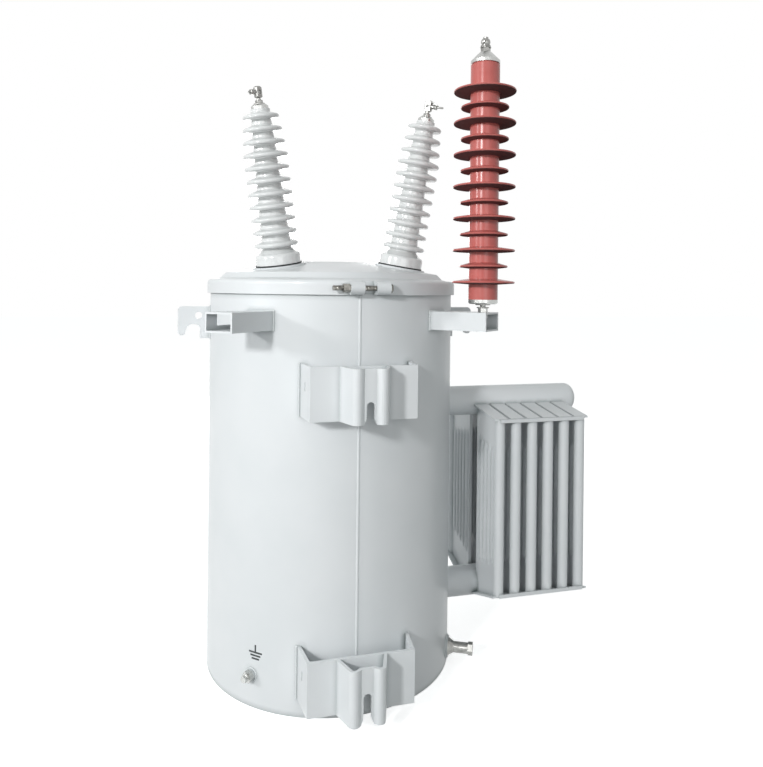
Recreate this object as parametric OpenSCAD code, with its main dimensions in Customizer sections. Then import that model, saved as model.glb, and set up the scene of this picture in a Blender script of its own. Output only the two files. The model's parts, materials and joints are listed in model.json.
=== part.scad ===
// Pole mounted distribution transformer with a side radiator and one surge arrester.
// Origin: tank axis at the underside of the tank. +Z up, -Y towards the pole, +X towards the radiator.

/* [Tank] */
// Outside diameter of the tank
tank_d = 610; // [560:1:680]
// Thickness of the tank wall
tank_wall = 5; // [3:0.5:8]
// Height of the tank wall up to the joint with the cover
tank_h = 921; // [905:1:1000]
// Thickness of the bottom plate
base_t = 6; // [4:0.5:12]
// Depth of the bottom plate above the lower edge of the wall
base_recess = 14; // [6:1:30]
// Width of the lip rolled out at the top of the tank wall
lip_w = 4; // [2:0.5:6]
// Height of the rolled lip
lip_h = 6; // [4:0.5:8]
// Diameter of the bead of the upright weld seam
seam_d = 9; // [5:0.5:14]
// How far the weld bead stands out of the wall
seam_proud = 1.6; // [0.5:0.1:2]

/* [Cover] */
// Thickness of the pressed cover
cover_t = 4; // [3:0.5:6]
// Height of the upright edge of the cover over the joint
cover_edge_h = 20; // [18:1:24]
// Distance from the outside of the tank to the edge of the cover
cover_edge_in = 3; // [2:0.5:5]
// Distance from the outside of the tank to the inner end of the sloped brim
cover_brim_in = 23; // [18:1:28]
// Height of the inner end of the brim over the joint
cover_brim_h = 26; // [25:1:32]
// Distance from the outside of the tank to the top of the shoulder
cover_shoulder_in = 36; // [32:1:44]
// Height of the shoulder over the joint
cover_shoulder_h = 39; // [34:1:50]
// Radius of the flat middle of the cover
cover_flat_r = 110; // [70:1:118]
// Slope of the cover from the shoulder up to the flat middle
cover_slope = 10; // [6:0.5:14]

/* [Clamp band] */
// Height of the clamp band over the joint
band_rise = 22; // [21:1:26]
// Height of the clamp band under the joint
band_drop = 11; // [9:1:16]
// Thickness of the band outside the lip
band_t = 3.5; // [2.5:0.5:6]
// Radius of the band's rounded upper edge
band_round = 9; // [5:0.5:9]
// Direction of the split in the band, from the pole side towards the radiator
band_split_az = 3; // [-20:1:20]
// Width of the split between the two lugs
band_split_w = 29; // [20:1:40]
// Diameter of the band's lugs
band_lug_d = 28; // [22:1:30]
// Length of each lug along the bolt
band_lug_len = 30; // [18:1:36]
// Height of the lugs and the bolt over the joint
band_lug_rise = 4; // [0:1:6]
// Diameter of the clamp bolt
band_bolt_d = 10; // [8:1:12]
// Length of thread beyond the nut
band_bolt_spare = 22; // [5:1:40]

/* [High voltage bushings] */
// Distance of the bushings' feet inside the line of the tank wall
hv_in = 124; // [110:1:140]
// Direction of the bushings, from the pole side to either hand
hv_az = 56; // [40:1:75]
// Diameter of the raised seat on the cover
hv_seat_d = 122; // [112:1:130]
// Height of the raised seat over the cover
hv_seat_h = 3; // [3:0.5:10]
// Thickness of the gasket
hv_gasket_t = 3.5; // [2:0.5:6]
// Diameter of the gasket
hv_gasket_d = 109; // [100:1:112]
// Diameter of the porcelain flange
hv_flange_d = 107; // [98:1:112]
// Height of the porcelain flange
hv_flange_h = 26; // [15:1:30]
// Height of the porcelain from the gasket up
hv_h = 360; // [340:1:420]
// Number of sheds
hv_sheds = 11; // [6:1:12]
// Height of the lowest shed over the gasket
hv_first = 46; // [42:1:60]
// Diameter of the lower sheds
hv_shed_d0 = 105; // [92:1:112]
// Diameter of the highest shed
hv_shed_d1 = 84; // [72:1:90]
// Growth in diameter from each of the upper sheds to the next one down
hv_shed_step = 7; // [4:0.5:9]
// Diameter of the core at the flange
hv_core_d0 = 69; // [60:1:76]
// Diameter of the core at the top
hv_core_d1 = 46; // [40:1:54]
// Thickness of a shed at its rim
hv_rim = 8; // [4:0.5:9]
// Diameter of the stem below the cover
hv_stem_d = 58; // [40:1:64]
// Length of the stem below the gasket
hv_stem_len = 60; // [30:1:100]
// Diameter of the metal cap on the porcelain
hv_cap_d = 40; // [32:1:46]
// Height of the metal cap
hv_cap_h = 11; // [8:1:16]
// Diameter of the terminal's post
hv_post_d = 10; // [8:1:14]
// Height of the post over the cap
hv_post_h = 14; // [10:1:20]
// Diameter of the terminal's head
hv_eye_d = 19; // [18:1:24]
// Height of the head over the post
hv_eye_h = 27; // [24:1:34]
// Width of the head over its two flats
hv_flat_w = 14; // [12:0.5:15]
// Diameter of the conductor hole through the flats
hv_wire_d = 9; // [6:0.5:9.5]
// Diameter of the clamp screw's boss
hv_boss_d = 11; // [8:1:14]
// Distance from the middle of the head to the end of the boss
hv_boss_len = 15; // [13:1:20]

/* [Arrester brackets] */
// Direction of the brackets, from the pole side to either hand
arm_az = 42.5; // [32:0.5:52]
// Distance from the tank wall to the end of each bracket
arm_reach = 139; // [130:1:175]
// Width of the rectangular tube
arm_w = 70; // [60:1:80]
// Height of the rectangular tube
arm_h = 42; // [36:1:50]
// Wall of the rectangular tube
arm_wall = 4; // [3:0.5:6]
// Distance of the top of the tube below the joint with the cover
arm_drop = 48; // [40:1:80]
// Distance of the stud hole from the end of the tube
arm_hole_in = 23; // [18:1:40]
// Diameter of the stud hole
arm_hole_d = 14; // [13:0.5:18]
// Distance from the end of the tube to the hand window in its outer side
arm_window_in = 33; // [28:1:45]
// Length of the hand window
arm_window_len = 52; // [40:1:60]
// Height of the hand window, under the tube's top wall
arm_window_h = 25; // [18:1:27]

/* [Surge arrester] */
// Diameter of the mounting stud
sa_stud_d = 12; // [8:1:12]
// Height from the bracket to the base cap
sa_standoff = 19; // [14:1:28]
// Diameter of the base cap
sa_base_d = 66; // [50:1:66]
// Height of the base cap
sa_base_h = 10; // [6:1:16]
// Height of the rubber housing
sa_h = 532; // [520:1:640]
// Diameter of the rubber housing
sa_core_d = 66; // [65:1:76]
// Number of sheds, large and small in turn
sa_sheds = 13; // [5:2:13]
// Diameter of the large sheds
sa_large_d = 141; // [125:1:160]
// Diameter of the small sheds
sa_small_d = 109; // [95:1:120]
// Thickness of a shed at its rim
sa_rim = 5; // [3:0.5:7]
// Height of the lowest shed over the base cap
sa_first = 39; // [30:1:60]
// Distance of the highest shed from the top of the housing
sa_last = 62; // [50:1:90]
// Height of the metal top cap
sa_cap_h = 27; // [18:1:34]
// Diameter at the foot of the top cap
sa_cap_d = 66; // [56:1:66]
// Height of the top cap's straight foot
sa_cap_foot = 7; // [3:0.5:10]
// Diameter at the top of the top cap
sa_cap_top_d = 27; // [26:1:40]
// Diameter of the top terminal bolt
sa_bolt_d = 12; // [8:1:14]
// Height of the terminal bolt over the cap
sa_bolt_h = 34; // [26:1:46]

/* [Lifting lugs] */
// Distance from the tank wall to the tip of the lug
lug_reach = 77; // [74:1:95]
// Thickness of the lug
lug_t = 14; // [8:1:20]
// Distance of the top of the lug below the joint with the cover
lug_drop = 45; // [36:1:70]
// Height of the lug at the tank wall
lug_root_h = 78; // [72:1:100]
// Depth of the lug at its tip
lug_tip_h = 71; // [66:1:80]
// Radius of the sling notch
lug_notch_r = 18; // [15:1:19]
// Width of the hooked tip
lug_horn_w = 19; // [16:1:22]
// Height of the plate over the notch
lug_neck_h = 43; // [40:1:46]
// Diameter of the shackle hole
lug_hole_d = 17; // [12:1:20]
// Distance of the shackle hole from the tank wall
lug_hole_out = 28; // [24:1:32]
// Depth of the shackle hole below the top of the lug
lug_hole_in = 22; // [18:1:26]
// Radius of the lug's outer corner
lug_round = 10; // [6:1:14]

/* [Hanger brackets] */
// Distance between the tops of the slots of the two hangers
hanger_pitch = 591; // [560:1:610]
// Height of the lower hanger's lower edge
hanger_z = 40; // [20:1:55]
// Height of each hanger
hanger_h = 114; // [100:1:130]
// Thickness of the bent plate
hanger_t = 7; // [5:0.5:8]
// Half width of the hanger at its front corners
hanger_half_w = 113; // [100:1:125]
// Half width of the hanger at the tank wall
hanger_foot = 122; // [110:1:140]
// Distance of the wide front wall from the tank wall
hanger_step = 48; // [42:1:60]
// Distance of the ridges from the tank wall
hanger_reach = 108; // [100:1:120]
// Half width at the root of the middle hat
hanger_root = 52; // [46:1:60]
// Half width over the centres of the ridges
hanger_ridge = 27; // [25:1:32]
// Radius of the rounded ridges
hanger_ridge_r = 9; // [7:0.5:10]
// Depth of the slot plate behind the ridges
hanger_dip = 8; // [5:1:10]
// Width of the bolt slot
slot_w = 17; // [14:0.5:20]
// Length of the bolt slot in the upper hanger
upper_slot_len = 46; // [36:1:60]
// Length of the bolt slot in the lower hanger
lower_slot_len = 63; // [46:1:70]
// Width of the slot at its flared mouth
slot_mouth = 28; // [24:1:30]
// Height of the slit in each side wall of a hanger
slit_h = 19; // [10:1:30]
// Width of the slit
slit_w = 4; // [2:0.5:6]
// Distance of the slit from the tank wall
slit_out = 10; // [8:1:16]
// Distance of the slit below the top of the hanger
slit_in = 36; // [20:1:50]

/* [Radiator] */
// Outside diameter of the header pipes
pipe_d = 78; // [70:1:82]
// Wall of the header pipes
pipe_wall = 4; // [3:0.5:6]
// Height of the lower header pipe
pipe_z = 134; // [120:1:150]
// Distance of the upper header pipe below the joint with the cover
pipe_drop = 298; // [270:1:330]
// Distance from the tank wall to the end of the pipes
pipe_reach = 387; // [380:1:440]
// Radius of the rounded pipe end
pipe_round = 22; // [8:1:30]
// Distance from the tank wall to the first fin
fin_first = 96; // [90:1:115]
// Distance between fins
fin_pitch = 45; // [42:1:50]
// Half depth of the fins
fin_half_w = 171; // [155:1:185]
// Half width of the gap between the two wings of a fin
fin_gap = 26; // [10:1:30]
// Thickness of the welded sheet of a fin
fin_t = 8; // [5:0.5:10]
// Diameter of the rounded outer edge of a fin
fin_edge_d = 26; // [16:1:28]
// Fall of the fin's end from the pipe to the outer edge
fin_fall = 20; // [12:1:30]
// Fall of the fin's lower end from the outer edge to the pipe
fin_lower_fall = 47; // [40:1:60]
// Depth of the fin's top end below the middle of the upper pipe
fin_top_in = 3; // [0:1:10]
// Depth of the fin's lower end below the middle of the lower pipe
fin_low_out = 27; // [20:1:30]
// Width of the flanges at the ends of a fin
fin_flange_w = 37; // [28:1:40]
// Thickness of the end flanges
fin_flange_t = 5; // [3:0.5:8]
// Distance from the outer edge of a fin to the end of its flanges
fin_flange_in = 3; // [1:0.5:6]
// Number of pressed flutes in each wing
flutes = 5; // [3:1:5]
// Distance from the wing's inner edge to the first flute
flute_first = 16; // [12:1:20]
// Diameter of a flute
flute_d = 18; // [12:1:20]
// Distance between flutes
flute_pitch = 22; // [21:1:24]
// Distance from the fin's ends to the flutes
flute_in = 62; // [50:1:80]
// Height of the tie strips
tie_h = 8.5; // [6:0.5:12]
// Thickness of the tie strips
tie_t = 4; // [3:0.5:6]

/* [Drain and earth] */
// Direction of the drain, from the pole side towards the radiator
drain_az = 62; // [55:1:75]
// Height of the drain
drain_z = 38; // [30:1:60]
// Diameter of the drain's flange
drain_boss_d = 50; // [44:1:56]
// Thickness of the drain's flange beyond the tank wall
drain_boss_len = 5; // [4:0.5:10]
// Diameter of the drain fitting's cone at the flange
drain_cone_d = 42; // [32:1:43]
// Length of the drain fitting's cone
drain_cone_len = 13; // [8:1:18]
// Diameter of the drain nipple
drain_nipple_d = 26; // [20:1:30]
// Length of the drain nipple
drain_nipple_len = 36; // [24:1:44]
// Width over the flats of the drain plug
drain_plug_w = 27; // [24:1:34]
// Length of the drain plug
drain_plug_len = 11; // [8:1:18]
// Direction of the earth stud
earth_az = -45; // [-65:0.5:-35]
// Height of the earth stud
earth_z = 72; // [40:1:120]
// Diameter of the earth boss
earth_boss_d = 24; // [20:1:32]
// Length of the earth boss
earth_boss_len = 6; // [4:1:14]
// Diameter of the earth stud
earth_stud_d = 14; // [8:1:16]
// Length of the earth stud beyond the boss
earth_stud_len = 22; // [20:1:40]

/* [Low voltage bushings] */
// Distance of the low voltage bushings below the joint with the cover
lv_drop = 141; // [125:1:180]
// Angle between the low voltage bushings
lv_az = 28; // [24:1:34]
// Diameter of the welded collar
lv_collar_d = 92; // [84:1:100]
// Length of the collar outside the tank
lv_collar_len = 10; // [8:1:20]
// Diameter of the insulator at its widest rib
lv_body_d = 74; // [66:1:80]
// Length of the insulator
lv_body_len = 58; // [48:1:80]
// Number of ribs on the insulator
lv_ribs = 3; // [2:1:4]
// Diameter of the terminal stud
lv_stud_d = 20; // [16:1:24]
// Length of the terminal stud beyond the insulator
lv_stud_len = 46; // [36:1:60]

/* [Hidden] */
// Room left at a curved seat
seat_gap = 0.2;
// Room round a bolt or a stem in its hole
fit_gap = 1;
// Overlap that makes a cut clean
cut = 1;
// Width of a small chamfer
chamfer = 3;
// Width over the flats and height of a nut, and height of a bolt head, as shares of the bolt's diameter
nut_w = 1.6;
nut_high = 0.8;
head_high = 0.6;
$fn = 64;

tank_r = tank_d / 2;
lip_r = tank_r + lip_w;
crown_r = tank_r - cover_shoulder_in;
hv_r = tank_r - hv_in;
cover_top_z = tank_h + cover_shoulder_h + (crown_r - cover_flat_r) * tan(cover_slope);
band_r = lip_r + seat_gap + band_t;
// Distance of the clamp bolt from the tank axis
band_bolt_r = band_r + band_lug_d * 0.4;
hv_seat_z = tank_h + cover_shoulder_h + (crown_r - hv_r) * tan(cover_slope);
arm_end = tank_r + arm_reach;
arm_hole_r = arm_end - arm_hole_in;
arm_top_z = tank_h - arm_drop;
arm_z = arm_top_z - arm_h;
lug_top_z = tank_h - lug_drop;
upper_hanger_z = hanger_z + lower_slot_len + hanger_pitch - upper_slot_len;
lv_z = tank_h - lv_drop;
sa_base_z = arm_top_z + sa_standoff;
pipe_end = tank_r + pipe_reach;
pipe_top_z = tank_h - pipe_drop;
fin_top_z = pipe_top_z - fin_top_in;
fin_low_z = pipe_z - fin_low_out;
fin_count = 6;
fin_last = fin_first + (fin_count - 1) * fin_pitch;
lv_r = tank_r + lv_collar_len;

// Painted steel, glazed porcelain, silicone rubber, zinc plate, brass and gasket rubber
paint = "#dfe6e8";
glaze = "#e9ecec";
rubber_red = "#c9716a";
zinc = "#b9bcbd";
brass = "#a8926a";
gasket_black = "#2b2d2e";

// Points of an arc in the plane
function arc(centre, r, from, to, steps = 6) =
    [for (i = [0 : steps]) let (a = from + (to - from) * i / steps) centre + r * [cos(a), sin(a)]];

// Puts a piece that is drawn along -Y from the tank axis in a direction round the tank
module towards(az, z = 0) {
    translate([0, 0, z]) rotate([0, 0, az]) children();
}

// Turns a piece drawn along +Z so that it points out of the tank wall, from a radius
module out_from(r) {
    translate([0, -r, 0]) rotate([90, 0, 0]) children();
}

// The tank's outside with the room for a welded piece
module tank_cut() {
    translate([0, 0, -cut]) cylinder(r = tank_r + seat_gap, h = cover_top_z, $fn = 128);
}

// Points in the opposite order
function turned(points) = [for (i = [len(points) - 1 : -1 : 0]) points[i]];

// One side of a line of points, moved out by a distance with mitred corners
function side_of(points, d) = [for (i = [0 : len(points) - 1])
    let (last = len(points) - 1,
         a = points[max(i, 1)] - points[max(i, 1) - 1],
         b = points[min(i, last - 1) + 1] - points[min(i, last - 1)],
         m = [-a.y, a.x] / norm(a) + [-b.y, b.x] / norm(b))
        points[i] + 2 * d * m / (m * m)];

// A strip of bent plate whose middle follows points in the plane
module bent_strip(points, t) {
    polygon(concat(side_of(points, t / 2), turned(side_of(points, -t / 2))));
}

// Hexagon with a width over its flats
module hexagon(w) {
    circle(d = w / cos(30), $fn = 6);
}

module tank_shell() {
    color(paint) difference() {
        union() {
            rotate_extrude($fn = 128) polygon([
                [tank_r - tank_wall, 0], [tank_r, 0], [tank_r, tank_h - lip_h],
                [lip_r, tank_h - lip_h], [lip_r, tank_h], [tank_r - tank_wall, tank_h]
            ]);
            translate([0, -tank_r - seam_proud + seam_d / 2, 0])
                cylinder(d = seam_d, h = tank_h - band_drop - cut);
        }
        translate([0, 0, -cut]) cylinder(r = tank_r - tank_wall, h = tank_h + 2 * cut, $fn = 128);
    }
}

module tank_base() {
    color(paint) translate([0, 0, base_recess])
        cylinder(r = tank_r - tank_wall - seat_gap, h = base_t, $fn = 128);
}

// Outside of the pressed cover, from its rim up to the middle, sunk by a depth
function cover_line(depth) = [
    [tank_r - cover_edge_in - depth, tank_h + cover_edge_h - depth / 2],
    [tank_r - cover_brim_in - depth / 2, tank_h + cover_brim_h - depth],
    [crown_r - depth / 2, tank_h + cover_shoulder_h - depth],
    [cover_flat_r - depth / 8, cover_top_z - depth],
    [0, cover_top_z - depth]
];

module on_hv_seat(side) {
    towards(side * hv_az)
        translate([0, -hv_r, hv_seat_z]) rotate([cover_slope, 0, 0]) children();
}

module tank_cover() {
    inside = cover_line(cover_t);
    color(paint) difference() {
        union() {
            rotate_extrude($fn = 128) polygon(concat(
                [[lip_r, tank_h], [lip_r, tank_h + cover_t], [tank_r - cover_edge_in, tank_h + cover_t]],
                cover_line(0),
                turned(inside),
                [[tank_r - cover_edge_in - cover_t, tank_h]]
            ));
            for (side = [-1, 1]) on_hv_seat(side)
                translate([0, 0, -cover_t]) cylinder(d1 = hv_seat_d + 2 * cover_t, d2 = hv_seat_d,
                    h = cover_t + hv_seat_h);
        }
        for (side = [-1, 1]) on_hv_seat(side)
            translate([0, 0, -hv_stem_len]) cylinder(d = hv_stem_d + 2 * fit_gap, h = 2 * hv_stem_len);
    }
}

// Section of the band: a channel round the lip and the cover's rim, rounded above
module band_section() {
    edge_r = tank_r - cover_edge_in + seat_gap;
    top = tank_h + band_rise;
    low = tank_h - band_drop;
    rim_top = tank_h + cover_t + seat_gap;
    lip_low = tank_h - lip_h - seat_gap;
    polygon(concat(
        [[tank_r + seat_gap, low], [band_r, low]],
        arc([band_r - band_round, top - band_round], band_round, 0, 90),
        [[edge_r, top], [edge_r, rim_top], [lip_r + seat_gap, rim_top],
         [lip_r + seat_gap, lip_low], [tank_r + seat_gap, lip_low]]
    ));
}

module at_band_bolt() {
    towards(band_split_az, tank_h + band_lug_rise)
        translate([0, -band_bolt_r, 0]) rotate([0, 90, 0]) children();
}

// The two barrels at the ends of the band, each on a saddle that follows the band
module band_lugs() {
    length = band_split_w + 2 * band_lug_len;
    difference() {
        at_band_bolt() {
            cylinder(d = band_lug_d, h = length, center = true);
            translate([0, band_lug_d / 2, 0]) cube([band_lug_d * 0.8, band_lug_d, length], center = true);
        }
        cylinder(r = band_r - band_t / 2, h = cover_top_z, $fn = 128);
    }
}

module clamp_band() {
    color(paint) difference() {
        union() {
            rotate_extrude($fn = 128) band_section();
            band_lugs();
        }
        at_band_bolt() {
            cylinder(d = band_bolt_d + fit_gap, h = tank_r, center = true);
            cube([4 * band_lug_d, 4 * band_lug_d, band_split_w], center = true);
        }
    }
}

module clamp_bolt() {
    face = band_split_w / 2 + band_lug_len;
    nut_h = band_bolt_d * 2 * nut_high;
    color(zinc) at_band_bolt() {
        translate([0, 0, -face - nut_h - band_bolt_spare])
            cylinder(d = band_bolt_d, h = 2 * face + nut_h + band_bolt_spare + cut);
        translate([0, 0, face]) linear_extrude(band_bolt_d * head_high) hexagon(band_bolt_d * nut_w);
        translate([0, 0, -face - nut_h]) linear_extrude(nut_h) hexagon(band_bolt_d * nut_w);
    }
}

// Half outline of one shed: a shallow underside, a round rim and a top that rises to the core
function shed(z, core_r, shed_r, rim, drop, rise) = concat(
    [[core_r, z - drop]],
    arc([shed_r - rim / 2, z], rim / 2, -90, 90, 4),
    [[core_r, z + rise]]
);

module hv_bushing(side) {
    drop = hv_rim * 0.7;
    rise = hv_rim * 2.2;
    step = (hv_h - rise - hv_first) / (hv_sheds - 1);
    core_r = function (i) (hv_core_d0 + (hv_core_d1 - hv_core_d0) * i / (hv_sheds - 1)) / 2;
    shed_r = function (i) min(hv_shed_d0, hv_shed_d1 + hv_shed_step * (hv_sheds - 1 - i)) / 2;
    color(glaze) on_hv_seat(side) translate([0, 0, hv_seat_h + hv_gasket_t]) rotate_extrude()
        polygon(concat(
            [[0, -hv_stem_len], [hv_stem_d / 2, -hv_stem_len], [hv_stem_d / 2, 0], [hv_flange_d / 2, 0]],
            arc([hv_flange_d / 2 - hv_flange_h / 3, hv_flange_h * 2 / 3], hv_flange_h / 3, 0, 90, 4),
            [for (i = [0 : hv_sheds - 1])
                each shed(hv_first + i * step, core_r(i), shed_r(i), hv_rim, drop, rise)],
            [[0, hv_h]]
        ));
}

module hv_gasket(side) {
    color(gasket_black) on_hv_seat(side) translate([0, 0, hv_seat_h]) difference() {
        cylinder(d = hv_gasket_d, h = hv_gasket_t);
        translate([0, 0, -cut]) cylinder(d = hv_stem_d + 2 * fit_gap, h = hv_gasket_t + 2 * cut);
    }
}

module on_hv_top(side) {
    on_hv_seat(side) translate([0, 0, hv_seat_h + hv_gasket_t + hv_h]) children();
}

module hv_cap(side) {
    color(zinc) on_hv_top(side) rotate_extrude() polygon([
        [0, 0], [hv_cap_d / 2, 0], [hv_cap_d / 2, hv_cap_h * 0.6],
        [hv_cap_d * 0.38, hv_cap_h], [0, hv_cap_h]
    ]);
}

// Terminal: a post under a head that has two flats, a cross hole for the conductor and a boss for a screw
module hv_terminal(side) {
    color(zinc) on_hv_top(side) translate([0, 0, hv_cap_h]) {
        cylinder(d = hv_post_d, h = hv_post_h + chamfer);
        translate([0, 0, hv_post_h]) difference() {
            intersection() {
                union() {
                    rotate_extrude() polygon([
                        [0, 0], [hv_eye_d / 2 - chamfer, 0], [hv_eye_d / 2, chamfer],
                        [hv_eye_d / 2, hv_eye_h - chamfer], [hv_eye_d / 2 - chamfer, hv_eye_h],
                        [0, hv_eye_h]
                    ]);
                    translate([0, 0, hv_eye_h / 2]) rotate([90, 0, 0])
                        cylinder(d = hv_boss_d, h = hv_boss_len);
                }
                translate([-hv_flat_w / 2, -hv_boss_len, 0]) cube([hv_flat_w, 2 * hv_boss_len, hv_eye_h]);
            }
            translate([0, 0, hv_eye_h / 2]) rotate([0, 90, 0])
                cylinder(d = hv_wire_d, h = 2 * hv_eye_d, center = true);
        }
    }
}

module arrester_bracket(side) {
    color(paint) towards(side * arm_az) difference() {
        translate([-arm_w / 2, -arm_end, arm_z]) cube([arm_w, arm_end - tank_r / 2, arm_h]);
        translate([-arm_w / 2 + arm_wall, -arm_end - cut, arm_z + arm_wall])
            cube([arm_w - 2 * arm_wall, arm_end, arm_h - 2 * arm_wall]);
        translate([0, -arm_hole_r, arm_top_z - 2 * arm_wall]) cylinder(d = arm_hole_d, h = 3 * arm_wall);
        translate([side * arm_w / 2 - arm_wall - cut, -arm_end + arm_window_in, arm_top_z - arm_wall])
            translate([0, 0, -arm_window_h]) cube([2 * (arm_wall + cut), arm_window_len, arm_window_h]);
        tank_cut();
    }
}

module on_arrester(z) {
    towards(arm_az) translate([0, -arm_hole_r, z]) children();
}

module arrester_stud() {
    nut_h = sa_stud_d * nut_high;
    low = arm_top_z - arm_wall - nut_h;
    color(zinc) on_arrester(0) {
        translate([0, 0, low]) cylinder(d = sa_stud_d, h = sa_base_z - low);
        translate([0, 0, low]) linear_extrude(nut_h) hexagon(sa_stud_d * nut_w);
        translate([0, 0, arm_top_z]) linear_extrude(nut_h) hexagon(sa_stud_d * nut_w);
    }
}

module arrester_base_cap() {
    color(zinc) on_arrester(sa_base_z) rotate_extrude() polygon([
        [0, 0], [sa_base_d / 2 - chamfer, 0], [sa_base_d / 2, chamfer],
        [sa_base_d / 2, sa_base_h], [0, sa_base_h]
    ]);
}

module arrester_housing() {
    step = (sa_h - sa_first - sa_last) / (sa_sheds - 1);
    color(rubber_red) on_arrester(sa_base_z + sa_base_h) rotate_extrude() polygon(concat(
        [[0, 0], [sa_core_d / 2, 0]],
        [for (i = [0 : sa_sheds - 1])
            each shed(sa_first + i * step, sa_core_d / 2, (i % 2 == 0 ? sa_large_d : sa_small_d) / 2,
                sa_rim, sa_rim, sa_rim * 1.6)],
        [[sa_core_d / 2, sa_h - chamfer], [sa_core_d / 2 - chamfer, sa_h], [0, sa_h]]
    ));
}

module arrester_top_cap() {
    color(zinc) on_arrester(sa_base_z + sa_base_h + sa_h) rotate_extrude() polygon([
        [0, 0], [sa_cap_d / 2, 0], [sa_cap_d / 2, sa_cap_foot], [sa_cap_top_d / 2, sa_cap_h], [0, sa_cap_h]
    ]);
}

module arrester_terminal() {
    nut_h = sa_bolt_d * nut_high;
    color(zinc) on_arrester(sa_base_z + sa_base_h + sa_h + sa_cap_h) {
        cylinder(d = sa_bolt_d, h = sa_bolt_h);
        linear_extrude(nut_h) hexagon(sa_bolt_d * nut_w);
    }
}

// Side of a lifting lug, measured from the tank axis: a plate with a hooked tip over a sling notch
module lug_side() {
    root_r = tank_r - lug_t;
    tip_r = tank_r + lug_reach;
    tip_round = lug_horn_w / 2;
    tip_z = lug_top_z - lug_tip_h + tip_round;
    notch_r = tip_r - lug_horn_w - lug_notch_r;
    notch_z = lug_top_z - lug_neck_h - lug_notch_r;
    notch_ends = [15, 150];
    difference() {
        polygon(concat(
            [[root_r, lug_top_z]],
            arc([tip_r - lug_round, lug_top_z - lug_round], lug_round, 90, 0),
            arc([tip_r - tip_round, tip_z], tip_round, 0, -180),
            arc([notch_r, notch_z], lug_notch_r, notch_ends[0], notch_ends[1]),
            [[notch_r + lug_notch_r * cos(notch_ends[1]), lug_top_z - lug_root_h],
             [root_r, lug_top_z - lug_root_h]]
        ));
        translate([tank_r + lug_hole_out, lug_top_z - lug_hole_in]) circle(d = lug_hole_d);
    }
}

module lifting_lug(side) {
    color(paint) difference() {
        towards(side * 90) rotate([90, 0, -90]) translate([0, 0, -lug_t / 2])
            linear_extrude(lug_t) lug_side();
        tank_cut();
    }
}

// A line of points and its mirror image on the other side of the middle
function both_sides(half) = concat(half, [for (p = turned(half)) [-p.x, p.y]]);

// Plan of a hanger: a wide channel on the tank wall with a ridged hat on its front
module hanger_plan() {
    front = -tank_r - hanger_step;
    foot = [hanger_foot, -sqrt(tank_r * tank_r - hanger_foot * hanger_foot) + hanger_t];
    crest = -tank_r - hanger_reach + hanger_t / 2;
    ridge_ends = [-20, -135];
    ridge = arc([hanger_ridge, crest + hanger_ridge_r], hanger_ridge_r, ridge_ends[0], ridge_ends[1]);
    dip = [slot_mouth / 2, crest + hanger_dip];
    bent_strip(both_sides([foot, [hanger_half_w, front]]), hanger_t);
    bent_strip(both_sides(concat([[hanger_root, front]], ridge, [dip])), hanger_t);
}

module hanger(z, slot_len) {
    slot_top = slot_len - slot_w / 2;
    mouth_h = slot_w * 0.7;
    slit_z = z + hanger_h - slit_in - slit_h;
    color(paint) difference() {
        translate([0, 0, z]) linear_extrude(hanger_h) hanger_plan();
        translate([0, -tank_r - hanger_step - hanger_t, z]) rotate([90, 0, 0])
            linear_extrude(hanger_reach) polygon(concat(
                [[-slot_mouth / 2, -cut], [slot_mouth / 2, -cut], [slot_w / 2, mouth_h]],
                arc([0, slot_top], slot_w / 2, 0, 180, 12),
                [[-slot_w / 2, mouth_h]]
            ));
        translate([-hanger_foot - hanger_t, -tank_r - slit_out - slit_w, slit_z])
            cube([2 * (hanger_foot + hanger_t), slit_w, slit_h]);
        tank_cut();
    }
}

module header_pipe(z) {
    r = pipe_d / 2;
    inner = r - pipe_wall;
    color(paint) difference() {
        translate([0, 0, z]) rotate([0, 90, 0]) rotate_extrude() polygon(concat(
            [[inner, tank_r / 2], [r, tank_r / 2]],
            arc([r - pipe_round, pipe_end - pipe_round], pipe_round, 0, 90),
            [[0, pipe_end], [0, pipe_end - pipe_wall], [inner, pipe_end - pipe_round]]
        ));
        tank_cut();
    }
}

// Heights of a fin's two ends at a distance from the pipes
function fin_top(y) = fin_top_z - fin_fall * (y - fin_gap) / (fin_half_w - fin_gap);
function fin_low(y) = fin_low_z + fin_lower_fall * (y - fin_gap) / (fin_half_w - fin_gap);

// Side of a wing between two depths below its ends, out to a distance from the pipes
module wing_side(top_in, low_in, y, w) {
    rotate([90, 0, 90]) translate([0, 0, -w / 2]) linear_extrude(w) polygon([
        [fin_gap, fin_low(fin_gap) + low_in], [y, fin_low(y) + low_in],
        [y, fin_top(y) - top_in], [fin_gap, fin_top(fin_gap) - top_in]
    ]);
}

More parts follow.
